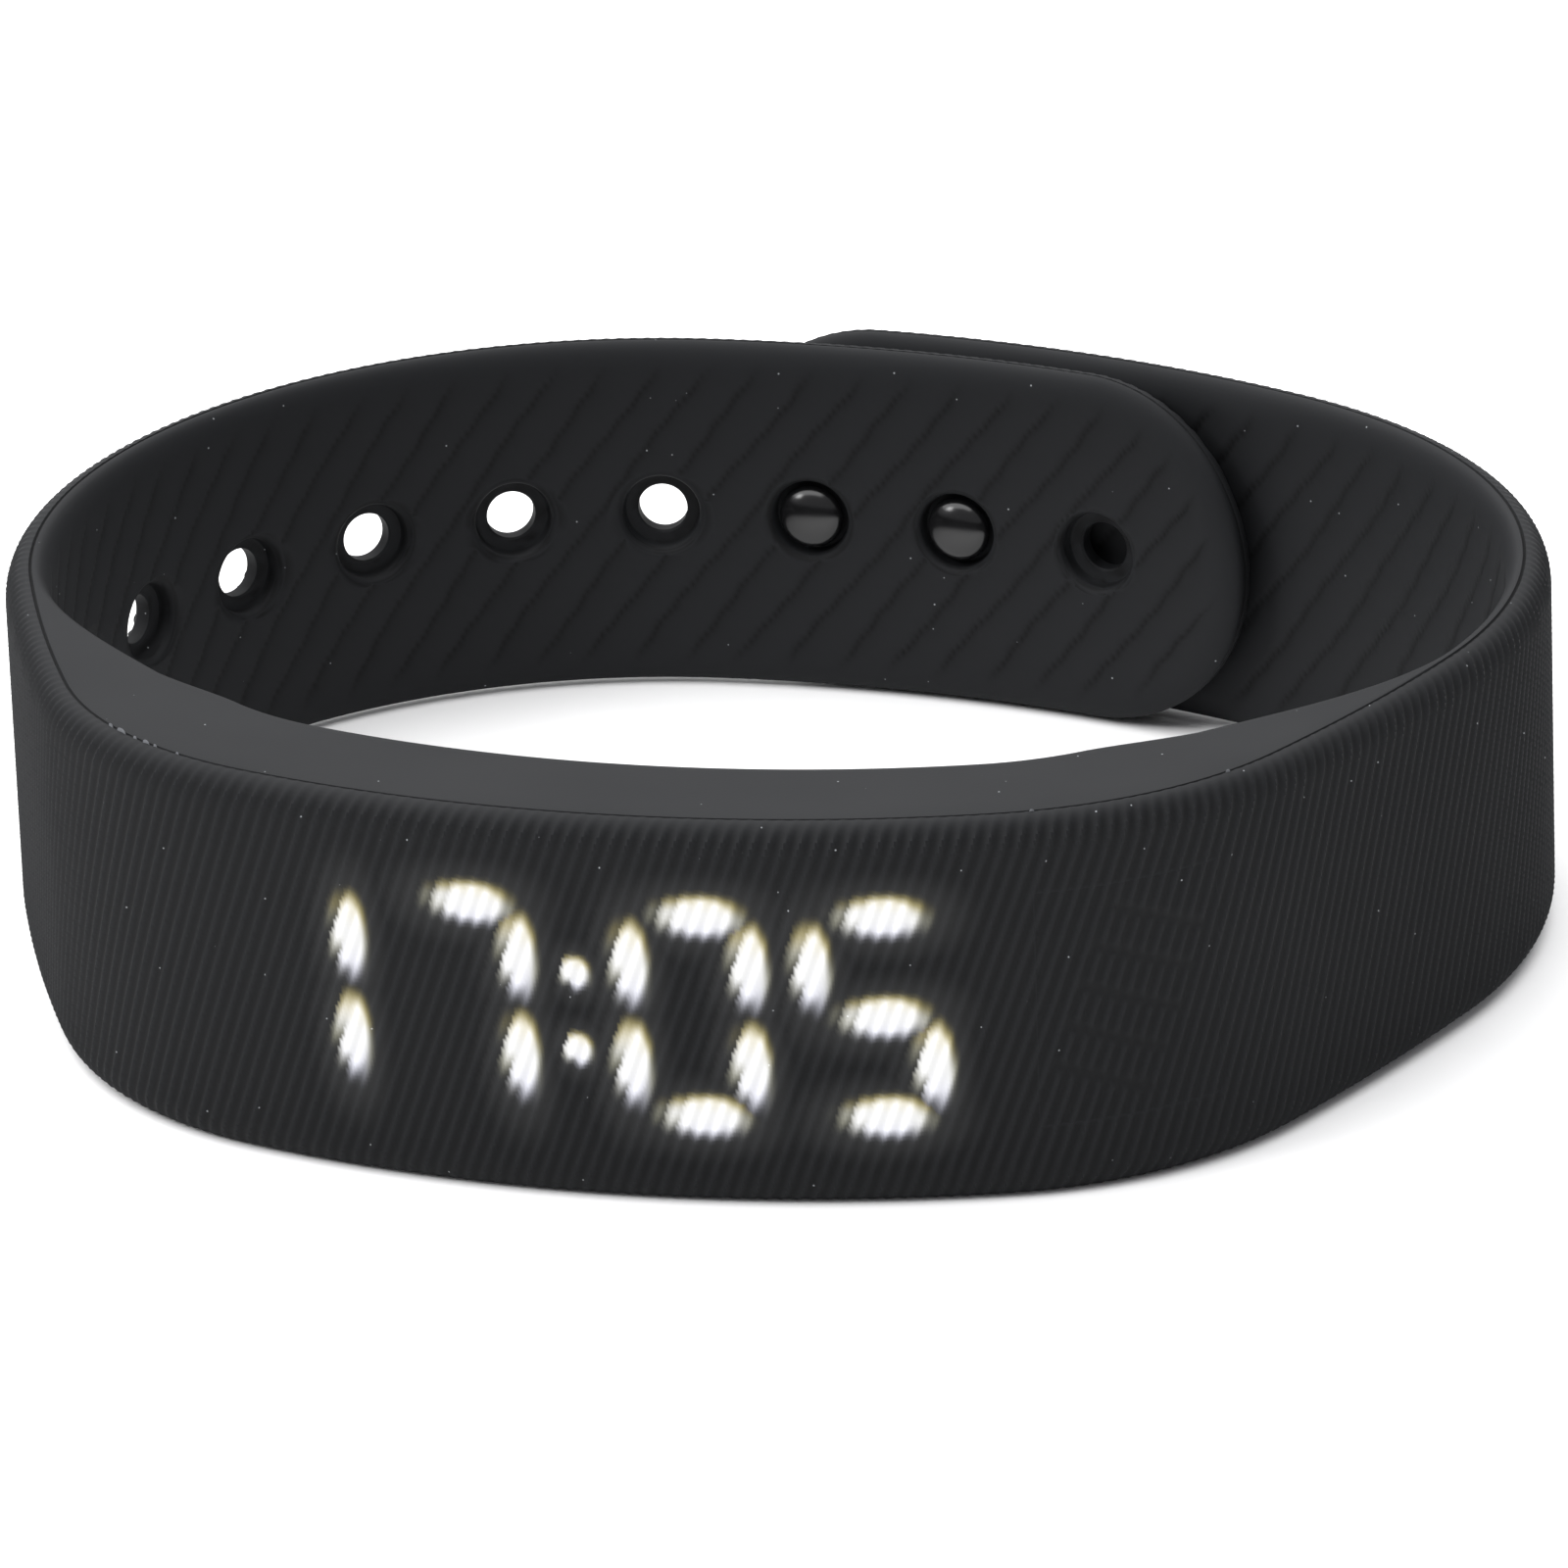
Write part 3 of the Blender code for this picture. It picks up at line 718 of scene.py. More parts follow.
@dataclass(frozen=True)
class Silicone:
    """Liquid silicone rubber, moulded in a finely blasted tool.

    It gives the eye a soft, even black with a broad dull sheen, a fine grain, a faint bloom where
    it has been handled, shade painted into its creases, and the few light specks of dust that
    silicone always holds.
    The tool's grain is about 0.03 mm, which is too fine to show, so it is drawn at 0.14 mm.

    Attributes:
        name, colour, bloom, dust: the material's name, and the colours of rubber, bloom and dust.
        roughness, shine: its roughness, and its specular level.
        grain_mm, bloom_mm: width of the grain and of the bloom's patches.
        crease: how dark the painted shade of a full crease is.
        dust_mm, speck_mm: distance between the specks, and their radius.
        glow: strength of the light that the glow attribute gives.
    """

    name: str = "silicone_matte_black"
    colour: str = "#18191b"
    bloom: str = "#1b1c1e"
    dust: str = "#8d9093"
    roughness: float = 0.68
    shine: float = 0.22
    grain_mm: float = 0.14
    bloom_mm: float = 9.0
    crease: float = 0.75
    dust_mm: float = 1.4
    speck_mm: float = 0.055
    glow: float = 1.0

    def build(self) -> Look:
        """Makes the material.

        Its painted crease shade and its light come from the vertex attributes named crease and glow.

        Returns:
            The material.
        """
        look, tree, at = new_look(self.name)
        grain = add_node(tree, "ShaderNodeTexNoise", {
            "Vector": at, "Scale": 1 / (self.grain_mm * MM), "Detail": 2.0, "Roughness": 0.6})
        bloom = add_node(tree, "ShaderNodeTexNoise", {
            "Vector": at, "Scale": 1 / (self.bloom_mm * MM), "Detail": 3.0})
        dust = add_node(tree, "ShaderNodeTexVoronoi", {"Vector": at, "Scale": 1 / (self.dust_mm * MM)})
        size = self.speck_mm / self.dust_mm
        speck = add_node(tree, "ShaderNodeMapRange", {
            "Value": dust.outputs["Distance"], "From Min": size, "From Max": size * 0.6,
            "To Min": 0.0, "To Max": 1.0})
        tone = add_node(tree, "ShaderNodeMix", {
            "Factor": bloom.outputs["Fac"], "A": linear(self.colour), "B": linear(self.bloom),
        }, data_type="RGBA")
        # painted shade: the crease attribute darkens the colour towards SHADOW in creases, valleys and
        # grooves
        crease = add_node(tree, "ShaderNodeAttribute", attribute_name="crease")
        depth = add_node(tree, "ShaderNodeMapRange", {"Value": crease.outputs["Fac"], "To Max": self.crease})
        crease_shaded = add_node(tree, "ShaderNodeMix", {
            "Factor": depth.outputs["Result"], "A": tone.outputs["Result"], "B": linear(SHADOW),
        }, data_type="RGBA")
        colour = add_node(tree, "ShaderNodeMix", {
            "Factor": speck.outputs["Result"], "A": crease_shaded.outputs["Result"], "B": linear(self.dust),
        }, data_type="RGBA")
        dull = add_node(tree, "ShaderNodeMapRange", {
            "Value": bloom.outputs["Fac"], "To Min": self.roughness - 0.06, "To Max": self.roughness + 0.08})
        bump = add_node(tree, "ShaderNodeBump", {
            "Height": grain.outputs["Fac"], "Strength": 0.22, "Distance": 0.02 * MM})
        light = add_node(tree, "ShaderNodeAttribute", attribute_name="glow")
        shader = add_node(tree, "ShaderNodeBsdfPrincipled", {
            "Base Color": colour.outputs["Result"], "Roughness": dull.outputs["Result"],
            "IOR": 1.41, "Specular IOR Level": self.shine, "Normal": bump.outputs["Normal"],
            "Emission Color": light.outputs["Color"], "Emission Strength": self.glow})
        add_node(tree, "ShaderNodeOutputMaterial", {"Surface": shader.outputs["BSDF"]})
        return look


@dataclass(frozen=True)
class Moulding:
    """Injection-moulded plastic, such as polycarbonate or ABS, polished or blasted by its tool.

    It gives the eye one even colour with a slightly uneven gloss. The mottle is a few millimetres
    wide, and a blasted tool's grain of 0.05 mm is drawn at 0.2 mm so that it shows.

    Attributes:
        name, colour, shade: the material's name, and the two colours of its mottle.
        roughness, grain: its roughness, and how strongly the grain stands out.
        grain_mm, mottle_mm: width of the grain and of the mottle.
    """

    name: str
    colour: str
    shade: str
    roughness: float
    grain: float = 0.15
    grain_mm: float = 0.2
    mottle_mm: float = 4.0

    def build(self) -> Look:
        """Makes the material.

        Returns:
            The material.
        """
        look, tree, at = new_look(self.name)
        mottle = add_node(tree, "ShaderNodeTexNoise", {
            "Vector": at, "Scale": 1 / (self.mottle_mm * MM), "Detail": 4.0})
        grain = add_node(tree, "ShaderNodeTexNoise", {
            "Vector": at, "Scale": 1 / (self.grain_mm * MM), "Detail": 1.0})
        tone = add_node(tree, "ShaderNodeMix", {
            "Factor": mottle.outputs["Fac"], "A": linear(self.colour), "B": linear(self.shade),
        }, data_type="RGBA")
        gloss = add_node(tree, "ShaderNodeMapRange", {
            "Value": mottle.outputs["Fac"],
            "To Min": self.roughness * 0.85, "To Max": self.roughness * 1.15})
        bump = add_node(tree, "ShaderNodeBump", {
            "Height": grain.outputs["Fac"], "Strength": self.grain, "Distance": 0.02 * MM})
        shader = add_node(tree, "ShaderNodeBsdfPrincipled", {
            "Base Color": tone.outputs["Result"], "Roughness": gloss.outputs["Result"],
            "Normal": bump.outputs["Normal"]})
        add_node(tree, "ShaderNodeOutputMaterial", {"Surface": shader.outputs["BSDF"]})
        return look


@dataclass(frozen=True)
class DrawnMetal:
    """Metal finished in one direction: turned, drawn or rolled, with fine parallel marks.

    It gives the eye a bright reflection that is drawn out across the marks. Real marks are about
    0.02 mm apart and are drawn at 0.08 mm.

    Attributes:
        name, colour, shade: the material's name, and the two colours between its marks.
        roughness: its roughness.
        mark_mm, stretch: distance between the marks, and how many times as long they are.
    """

    name: str
    colour: str
    shade: str
    roughness: float
    mark_mm: float = 0.08
    stretch: float = 14.0

    def build(self) -> Look:
        """Makes the material.

        Returns:
            The material.
        """
        look, tree, at = new_look(self.name)
        drawn = add_node(tree, "ShaderNodeMapping", {"Vector": at, "Scale": (1.0, 1.0, 1 / self.stretch)})
        marks = add_node(tree, "ShaderNodeTexNoise", {
            "Vector": drawn.outputs["Vector"], "Scale": 1 / (self.mark_mm * MM), "Detail": 3.0})
        tone = add_node(tree, "ShaderNodeMix", {
            "Factor": marks.outputs["Fac"], "A": linear(self.colour), "B": linear(self.shade),
        }, data_type="RGBA")
        rough = add_node(tree, "ShaderNodeMapRange", {
            "Value": marks.outputs["Fac"], "To Min": self.roughness * 0.8, "To Max": self.roughness * 1.3})
        bump = add_node(tree, "ShaderNodeBump", {
            "Height": marks.outputs["Fac"], "Strength": 0.12, "Distance": 0.01 * MM})
        shader = add_node(tree, "ShaderNodeBsdfPrincipled", {
            "Base Color": tone.outputs["Result"], "Roughness": rough.outputs["Result"],
            "Metallic": 1.0, "Normal": bump.outputs["Normal"]})
        add_node(tree, "ShaderNodeOutputMaterial", {"Surface": shader.outputs["BSDF"]})
        return look


@dataclass(frozen=True)
class Laminate:
    """Circuit board: glass fibre or polyimide under solder mask, with copper tracks that show through.

    It gives the eye a glossy tinted sheet with straight lighter tracks 0.35 mm apart.

    Attributes:
        name, colour, track: the material's name, and the colours of the mask and of the tracks.
        track_mm: distance between the tracks.
    """

    name: str
    colour: str
    track: str
    track_mm: float = 0.35

    def build(self) -> Look:
        """Makes the material.

        Returns:
            The material.
        """
        look, tree, at = new_look(self.name)
        tracks = add_node(tree, "ShaderNodeTexBrick", {
            "Vector": at, "Color1": linear(self.colour), "Color2": linear(self.colour),
            "Mortar": linear(self.track), "Scale": 1.0 / MM, "Mortar Size": 0.04,
            "Brick Width": 6 * self.track_mm, "Row Height": self.track_mm})
        shader = add_node(tree, "ShaderNodeBsdfPrincipled", {
            "Base Color": tracks.outputs["Color"], "Roughness": 0.32, "Coat Weight": 0.4})
        add_node(tree, "ShaderNodeOutputMaterial", {"Surface": shader.outputs["BSDF"]})
        return look


Finish = Silicone | Moulding | DrawnMetal | Laminate

# The band: soft black, and where the mould left it thin enough to let light in, a dull grey.
SILICONE = Silicone()
FLASH = Silicone("silicone_thin_flash", "#5a5c5f", "#7a7c80")
# The clasp is polished by its tool: a deep black with small, clear highlights.
CLASP_GLOSS = Moulding("polycarbonate_gloss_black", "#0b0b0c", "#101011", 0.21, grain=0.03)
# The casing: a dull dark grey with an even grain. Its seal: a soft brick red.
CASE_PLASTIC = Moulding("abs_blasted_black", "#1d1e20", "#232427", 0.46)
SEAL_RUBBER = Moulding("silicone_seal_red", "#8e2f28", "#7b2822", 0.6)
# The mask and the connector: a warm white that throws the lamps' light back.
MASK_PLASTIC = Moulding("polycarbonate_white", "#e6e5e0", "#dcdbd6", 0.5)
# The chips: a fine-grained near black. The wires: plain, slightly glossy sleeving.
CHIP_EPOXY = Moulding("epoxy_moulded_black", "#1a1a1b", "#202022", 0.4, grain=0.3)
RED_WIRE = Moulding("pvc_wire_red", "#a01f1c", "#8c1b18", 0.42)
BLACK_WIRE = Moulding("pvc_wire_black", "#191919", "#202020", 0.42)
# Screws and cans: a neutral bright grey. Contacts: a clear warm yellow. The cell: a wrinkled silver.
STEEL = DrawnMetal("stainless_steel_turned", "#c9cacc", "#b3b4b7", 0.26)
GOLD = DrawnMetal("gold_plate", "#e9bf6a", "#d8aa52", 0.18)
FOIL = DrawnMetal("aluminium_laminate_foil", "#c4c6ca", "#aeb0b4", 0.36, mark_mm=0.3)
# The boards: dark green and translucent amber, with tracks that show through.
BOARD = Laminate("fibreglass_green_mask", "#0c4a2a", "#1c7446")
FLEX = Laminate("polyimide_flex_amber", "#a8651c", "#c98a3a")

NODE_FINISHES = {
    "front_case": CASE_PLASTIC,
    "rear_case": CASE_PLASTIC,
    "case_seal": SEAL_RUBBER,
    "light_mask": MASK_PLASTIC,
    "flex_connector": MASK_PLASTIC,
    "led_board": FLEX,
    "main_board": BOARD,
    "processor_chip": CHIP_EPOXY,
    "motion_sensor": CHIP_EPOXY,
    "clock_crystal": STEEL,
    "battery_cell": FOIL,
    "battery_lead_plus": RED_WIRE,
    "battery_lead_minus": BLACK_WIRE,
    "antenna": GOLD,
    "vibration_motor": STEEL,
    "tact_switch": STEEL,
    "key_plunger": CASE_PLASTIC,
    **{f"rear_screw_{i}": STEEL for i in range(1, 5)},
    **{f"charge_contact_{i}": GOLD for i in range(1, 3)},
}


class Looks:
    """Makes each finish once."""

    def __init__(self) -> None:
        """Starts with no material made."""
        self.made: dict[str, Look] = {}

    def of(self, finish: Finish) -> Look:
        """The material of a finish, made when it is first asked for.

        Args:
            finish: the finish.

        Returns:
            Its material.
        """
        if finish.name not in self.made:
            self.made[finish.name] = finish.build()
        return self.made[finish.name]


# ---------------------------------------------------------------- sub-assemblies


class Bar(Enum):
    """The bars of a digit: middle as shares of its half width and half height, and whether upright."""

    TOP = (0.2, 1.0, False)
    CENTRE = (0.2, 0.0, False)
    FOOT = (0.2, -1.0, False)
    UPPER_LEFT = (-1.0, 0.5, True)
    UPPER_RIGHT = (1.0, 0.5, True)
    LOWER_LEFT = (-1.0, -0.5, True)
    LOWER_RIGHT = (1.0, -0.5, True)


@dataclass(frozen=True)
class Display:
    """The lit digits, as light that comes through the silicone.

    Attributes:
        digits: middle of each digit and its lit bars.
        colon: place of the two dots.
        half_width, half_height: from a digit's middle to its bars' middles.
        upright, level: of the two kinds of bar, the half widths to the left and right, and the half
            height, to where the light ends.
        dot: the same for a dot.
        colon_rise: from the middle to each dot.
        peak: brightness of a bar's middle, where 1 is white.
        halo: brightness of the silicone next to a bar, and where it starts and ends to fade, in a
            bar's half sizes.
        squareness: power that makes a bar's oval fuller than an ellipse, which has 2.
        streak: how far a rib pulls the light to its own middle.
        above, aside, below: colours of the thin light over a bar, beside it and under it.
    """

    digits: tuple[tuple[float, tuple[Bar, ...]], ...] = (
        (-14.85, (Bar.UPPER_RIGHT, Bar.LOWER_RIGHT)),
        (-6.45, (Bar.TOP, Bar.UPPER_RIGHT, Bar.LOWER_RIGHT)),
        (4.4, (Bar.TOP, Bar.UPPER_LEFT, Bar.UPPER_RIGHT, Bar.LOWER_LEFT, Bar.LOWER_RIGHT, Bar.FOOT)),
        (12.8, (Bar.TOP, Bar.UPPER_LEFT, Bar.CENTRE, Bar.LOWER_RIGHT, Bar.FOOT)),
    )
    colon: float = -1.05
    half_width: float = 2.77
    half_height: float = 4.95
    upright: tuple[float, float, float] = (1.5, 1.14, 2.85)
    level: tuple[float, float, float] = (3.2, 2.7, 1.42)
    dot: tuple[float, float, float] = (1.0, 1.0, 1.1)
    colon_rise: float = 1.9
    peak: float = 1.16
    halo: tuple[float, float, float] = (0.022, 0.6, 1.8)
    squareness: float = 2.3
    streak: float = 0.7
    above: tuple[float, float, float] = (1.0, 0.84, 0.30)
    aside: tuple[float, float, float] = (0.92, 0.9, 0.6)
    below: tuple[float, float, float] = (0.86, 0.87, 1.0)

    def spots(self) -> list[tuple[float, float, float, float, float]]:
        """Lists the places of light.

        Returns:
            Middle u, middle rise, half widths to the left and right, and half height of each bar and dot.
        """
        found = []
        for middle, bars in self.digits:
            for bar in bars:
                side, rise, upright = bar.value
                size = self.upright if upright else self.level
                found.append((middle + side * self.half_width, rise * self.half_height, *size))
        found += [(self.colon, sign * self.colon_rise, *self.dot) for sign in (-1, 1)]
        return found

    def light(self, u: Array, rise: Array) -> Array:
        """Colour of the light that leaves the surface.

        Each bar is an oval. It is fully lit in its middle, ends sharply above and on the right, and
        runs out softly to the left and below. Where it runs out to the left, each rib carries a
        streak of its own, as bright as the bar is at the rib's middle. The thin light is yellow
        above and blue-grey below. A faint halo round each bar is light that the silicone scatters.

        Args:
            u, rise: places on the outer face.

        Returns:
            Linear red, green and blue, on the last axis.
        """
        total = np.zeros((*u.shape, 3))
        crest = SECTION.ribs(u, rise)
        rib = np.round((u - SECTION.rib_lean * rise) / SECTION.rib_pitch)
        to_rib = rib * SECTION.rib_pitch + SECTION.rib_lean * rise - u
        above, aside, below = (np.array(colour) - 1 for colour in (self.above, self.aside, self.below))
        strength, near, far = self.halo
        for middle, height, left, right, tall in self.spots():
            up = rise - height
            off = u - middle
            off = off + to_rib * self.streak * smooth(0.4 - off / left)
            across = off / np.where(off < 0, left, right)
            reach = np.abs(across) ** self.squareness + np.abs(up / tall) ** self.squareness
            reach = reach ** (1 / self.squareness)
            soft = 0.5 + 0.28 * smooth(np.abs(across)) + 0.25 * smooth(-up / tall)
            body = smooth((1 - reach) / soft)
            level = self.peak * body**1.6 * (1 - (1 - crest) * (0.25 + 0.55 * (1 - body)))
            thin = np.clip(self.peak - level, 0.0, 1.0)
            tint = 1 + above * (thin * smooth(up / tall * 1.9 + 0.35 * across - 0.1))[..., None]
            tint = tint * (1 + aside * (thin * smooth(np.abs(across) * 1.4 - 0.3))[..., None])
            tint = tint * (1 + below * smooth(-1.3 * up / tall)[..., None])
            halo = strength * smooth((far - reach) / (far - near))
            total = np.maximum(total, np.clip(level[..., None] * tint, 0.0, 1.15) + halo[..., None])
        return total


@dataclass
class Sleeve:
    """The silicone round the core, with its pocket, the lit digits and the key's soft pad.

    Attributes:
        reach: half length, to the middle of each strap's first bend.
        core_half: half length of the pocket.
        pocket_heights, pocket_depths: the rest of the pocket.
        mouth_half, mouth_heights: the opening on the wrist side that the rear case fills.
        key_place, key_half: the soft pad over the key, square to the band.
        key_thick: the pad's thickness.
        mark_gap, mark_lean, mark_half: steps in u and z between the five short grooves that mark where
            to press, their lean, and half of their length.
        mark_width, mark_depth: width of a groove's bell shape, and its depth in ribs' depths.
        column_gap, inner_gap: distances between the skin's columns, and between its rows inside.
    """

    reach: float = 32.0
    core_half: float = 29.9
    pocket_heights: tuple[float, float] = (1.4, 17.4)
    pocket_depths: tuple[float, float] = (1.1, 6.4)
    mouth_half: float = 28.5
    mouth_heights: tuple[float, float] = (2.8, 16.0)
    key_place: float = 24.8
    key_half: tuple[float, float] = (4.6, 5.75)
    key_thick: float = 0.8
    mark_gap: tuple[float, float] = (-0.78, -1.85)
    mark_lean: float = math.radians(-22)
    mark_half: float = 2.4
    mark_width: float = 0.3
    mark_depth: float = 1.05
    column_gap: float = 0.12
    inner_gap: float = 1.5
    display: Display = field(default_factory=Display)

    def key_spans(self) -> tuple[tuple[float, float], tuple[float, float]]:
        """The pad's spans of u and z."""
        u_span = (self.key_place - self.key_half[0], self.key_place + self.key_half[0])
        return u_span, (SECTION.middle - self.key_half[1], SECTION.middle + self.key_half[1])

    def mark(self, u: Array, rise: Array) -> Array:
        """The press mark: five parallel grooves, each a bell shape round a short straight line.

        Args:
            u, rise: places on the pad.

        Returns:
            Depths from 0 to 1.
        """
        deep = np.zeros(np.broadcast(u, rise).shape)
        for i in range(-2, 3):
            along_u = u - self.key_place - i * self.mark_gap[0]
            along_z = rise - i * self.mark_gap[1]
            run = along_u * math.cos(self.mark_lean) + along_z * math.sin(self.mark_lean)
            off = along_z * math.cos(self.mark_lean) - along_u * math.sin(self.mark_lean)
            past = np.clip(np.abs(run) - self.mark_half, 0.0, None)
            deep = np.maximum(deep, np.exp(-((off**2 + past**2) / self.mark_width**2)))
        return deep

    def build(self, looks: Looks) -> None:
        """Makes the sleeve and the pad."""
        self.build_sleeve(looks)
        self.build_pad(looks)

    def build_sleeve(self, looks: Looks) -> None:
        """The sleeve: a skin with the pocket, its mouth and the key's window cut out.

        Args:
            looks: the materials.
        """
        u = columns(-self.reach, self.reach, self.column_gap)
        sleeve = skin("sleeve_skin", u, inner_gap=self.inner_gap)
        key_u, key_z = self.key_spans()
        near, far = self.pocket_depths
        pocket = block("pocket", (-self.core_half, self.core_half), (near, far), self.pocket_heights)
        mouth = block("mouth", (-self.mouth_half, self.mouth_half), (far - 0.3, SECTION.module_thick + 1),
                      self.mouth_heights)
        window = block("window", key_u, (-1.0, near + 0.2), key_z, gap=0.1)
        combine(pocket, [mouth, window], "UNION")
        combine(sleeve, [pocket])
        self.light_up(sleeve)
        finish_piece(sleeve, looks.of(SILICONE))
        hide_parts("band_sleeve")
        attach(sleeve, "core")

    def light_up(self, sleeve: Piece) -> None:
        """Stores the display's light on the outer face.

        The face is a circular arc there, so u is its radius times the angle about its centre.

        Args:
            sleeve: the sleeve, which gets a colour for each vertex under the name glow.
        """
        points = np.empty(len(sleeve.data.vertices) * 3, np.float32)
        sleeve.data.vertices.foreach_get("co", points)
        x, y, z = ((points.reshape(-1, 3) - ORIGIN) / MM).T
        length, radius = LINE.arcs[0]
        u = radius * np.arctan2(x, radius - y)
        depth = radius - np.hypot(x, radius - y)
        lit = (np.abs(u) < length) & (depth < 2 * SECTION.rib_depth) & (y < radius)
        colour = np.zeros((len(u), 4))
        colour[:, 3] = 1
        colour[lit, :3] = self.display.light(u[lit], z[lit] - SECTION.middle)
        layer = sleeve.data.attributes.new("glow", "FLOAT_COLOR", "POINT")
        layer.data.foreach_set("color", colour.astype(np.float32).ravel())

    def build_pad(self, looks: Looks) -> None:
        """The pad: the outer face's own surface over the key, on a smooth back.

        Args:
            looks: the materials.
        """
        u_span, z_span = self.key_spans()
        u = columns(*u_span)[:, None]
        rise = np.linspace(*z_span, round((z_span[1] - z_span[0]) / SECTION.row_gap) + 1) - SECTION.middle
        ribs = SECTION.rib_depth * (1 - SECTION.ribs(u, rise))
        front = np.maximum(ribs, self.mark_depth * SECTION.rib_depth * self.mark(u, rise))
        depth = np.concatenate((front, np.full((len(u), 2), self.key_thick)), axis=1)
        rise = np.concatenate((rise, (rise[-1], rise[0])))
        pad = tube("key_pad_skin", place(u, depth, SECTION.middle + rise))
        # painted shade in the rib valleys and in the press mark's grooves
        darker = np.clip(depth / SECTION.rib_depth, 0.0, 0.9) * SECTION.valley_shade
        store(pad, "crease", darker)
        finish_piece(pad, looks.of(SILICONE))
        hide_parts("key_pad")
        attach(pad, "key")


@dataclass
class Strap:
    """One strap as five overlapping skins, each of which lies between two of the frame's links.

    Attributes:
        side: which strap.
        tip_centre: where its half circle starts.
        hinges: places where the frame lets it bend.
        join: how far before each hinge a skin starts.
        rest: how far in from a skin's ends a bend would start; the places worked out from it are not used.
        tip_turn, tip_columns: how far round its half circle the tip is drawn, and in how many columns.
    """

    side: Side
    tip_centre: float
    hinges: tuple[float, ...] = (40.0, 56.0, 72.0, 88.0, 104.0)
    join: float = 8.0
    rest: float = 1.5
    tip_turn: float = math.radians(88.5)
    tip_columns: int = 129

    @property
    def name(self) -> str:
        """The strap's name in the frame."""
        return "hole_strap" if self.side is Side.HOLES else "peg_strap"

    def places(self, index: int) -> Array:
        """Places the columns of one skin. Past the tip's centre they follow the half circle in equal turns.

        Args:
            index: the skin's number, from the display outwards.

        Returns:
            Places along the band.
        """
        start = self.hinges[index] - self.join
        if index + 1 < len(self.hinges):
            u = columns(start, self.hinges[index + 1] - self.join)
        else:
            turns = np.linspace(0, self.tip_turn, self.tip_columns + 1)[1:]
            past = self.tip_centre + SECTION.tip_radius * np.sin(turns)
            u = np.concatenate((columns(start, self.tip_centre), past))
        return self.side.value * u

    def tools(self, index: int) -> list[Piece]:
        """What is cut from one skin."""
        raise NotImplementedError

    def build(self, looks: Looks) -> None:
        """Makes the skins.

        Args:
            looks: the materials.
        """
        for index, hinge in enumerate(self.hinges):
            u = self.places(index)
            piece = skin(f"{self.name}_skin_{index + 1}", u, self.tip_centre)
            tools = self.tools(index)
            if tools:
                combine(piece, tools)
            finish_piece(piece, looks.of(SILICONE))
            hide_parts(f"{self.name}_link_{index + 1}")
            start, end = (
                place(self.side.value * (hinge + sign * (self.join - self.rest)), 0.0, SECTION.strap_middle)
                for sign in (-1, 1)
            )
            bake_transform(piece)


@dataclass
class HoleStrap(Strap):
    """The inner strap, with its row of holes.

    Attributes:
        first, pitch, count: the holes' places from the tip.
        bore, recess: radii of each hole and of the wider recess on the wrist side.
        floor: depth of the recess's floor from the outer face.
        rim: radius of the recess's soft rim.
    """

    first: float = 124.0
    pitch: float = 8.0
    count: int = 9
    bore: float = 1.24
    recess: float = 1.95
    floor: float = 1.2
    rim: float = 0.5

    def holes(self) -> list[float]:
        """Places of the holes, from the tip."""
        return [self.first - i * self.pitch for i in range(self.count)]

    def cutter(self, u: float) -> Piece:
        """A hole's shape: a bore with a chamfered end, a recess with a sloping wall and a round rim.

        Args:
            u: the hole's place along the strap.

        Returns:
            The shape to cut.
        """
        top = SECTION.strap_thick
        turn = np.linspace(0, math.radians(72), 8)
        rim_radius = self.recess + self.rim * (1 - np.cos(turn))
        rim = np.stack((rim_radius, top - 0.49 + self.rim * np.sin(turn)), axis=1)
        profile = np.concatenate((
            ((self.bore + 0.3, -0.5), (self.bore + 0.24, 0.14), (self.bore, 0.36)),
            ((self.bore, self.floor - 0.1), (self.bore + 0.1, self.floor), (self.recess - 0.3, self.floor),
             (self.recess - 0.1, self.floor + 0.08), (self.recess - 0.04, self.floor + 0.25)),
            rim,
            ((self.recess + 1.4, top + 0.32),),
        ))
        return turned("hole", self.side.value * u, SECTION.strap_middle, profile)

    def tools(self, index: int) -> list[Piece]:
        """The holes of one skin."""
        ends = np.abs(self.places(index)[[0, -1]])
        return [self.cutter(u) for u in self.holes() if ends[0] < u < ends[1]]


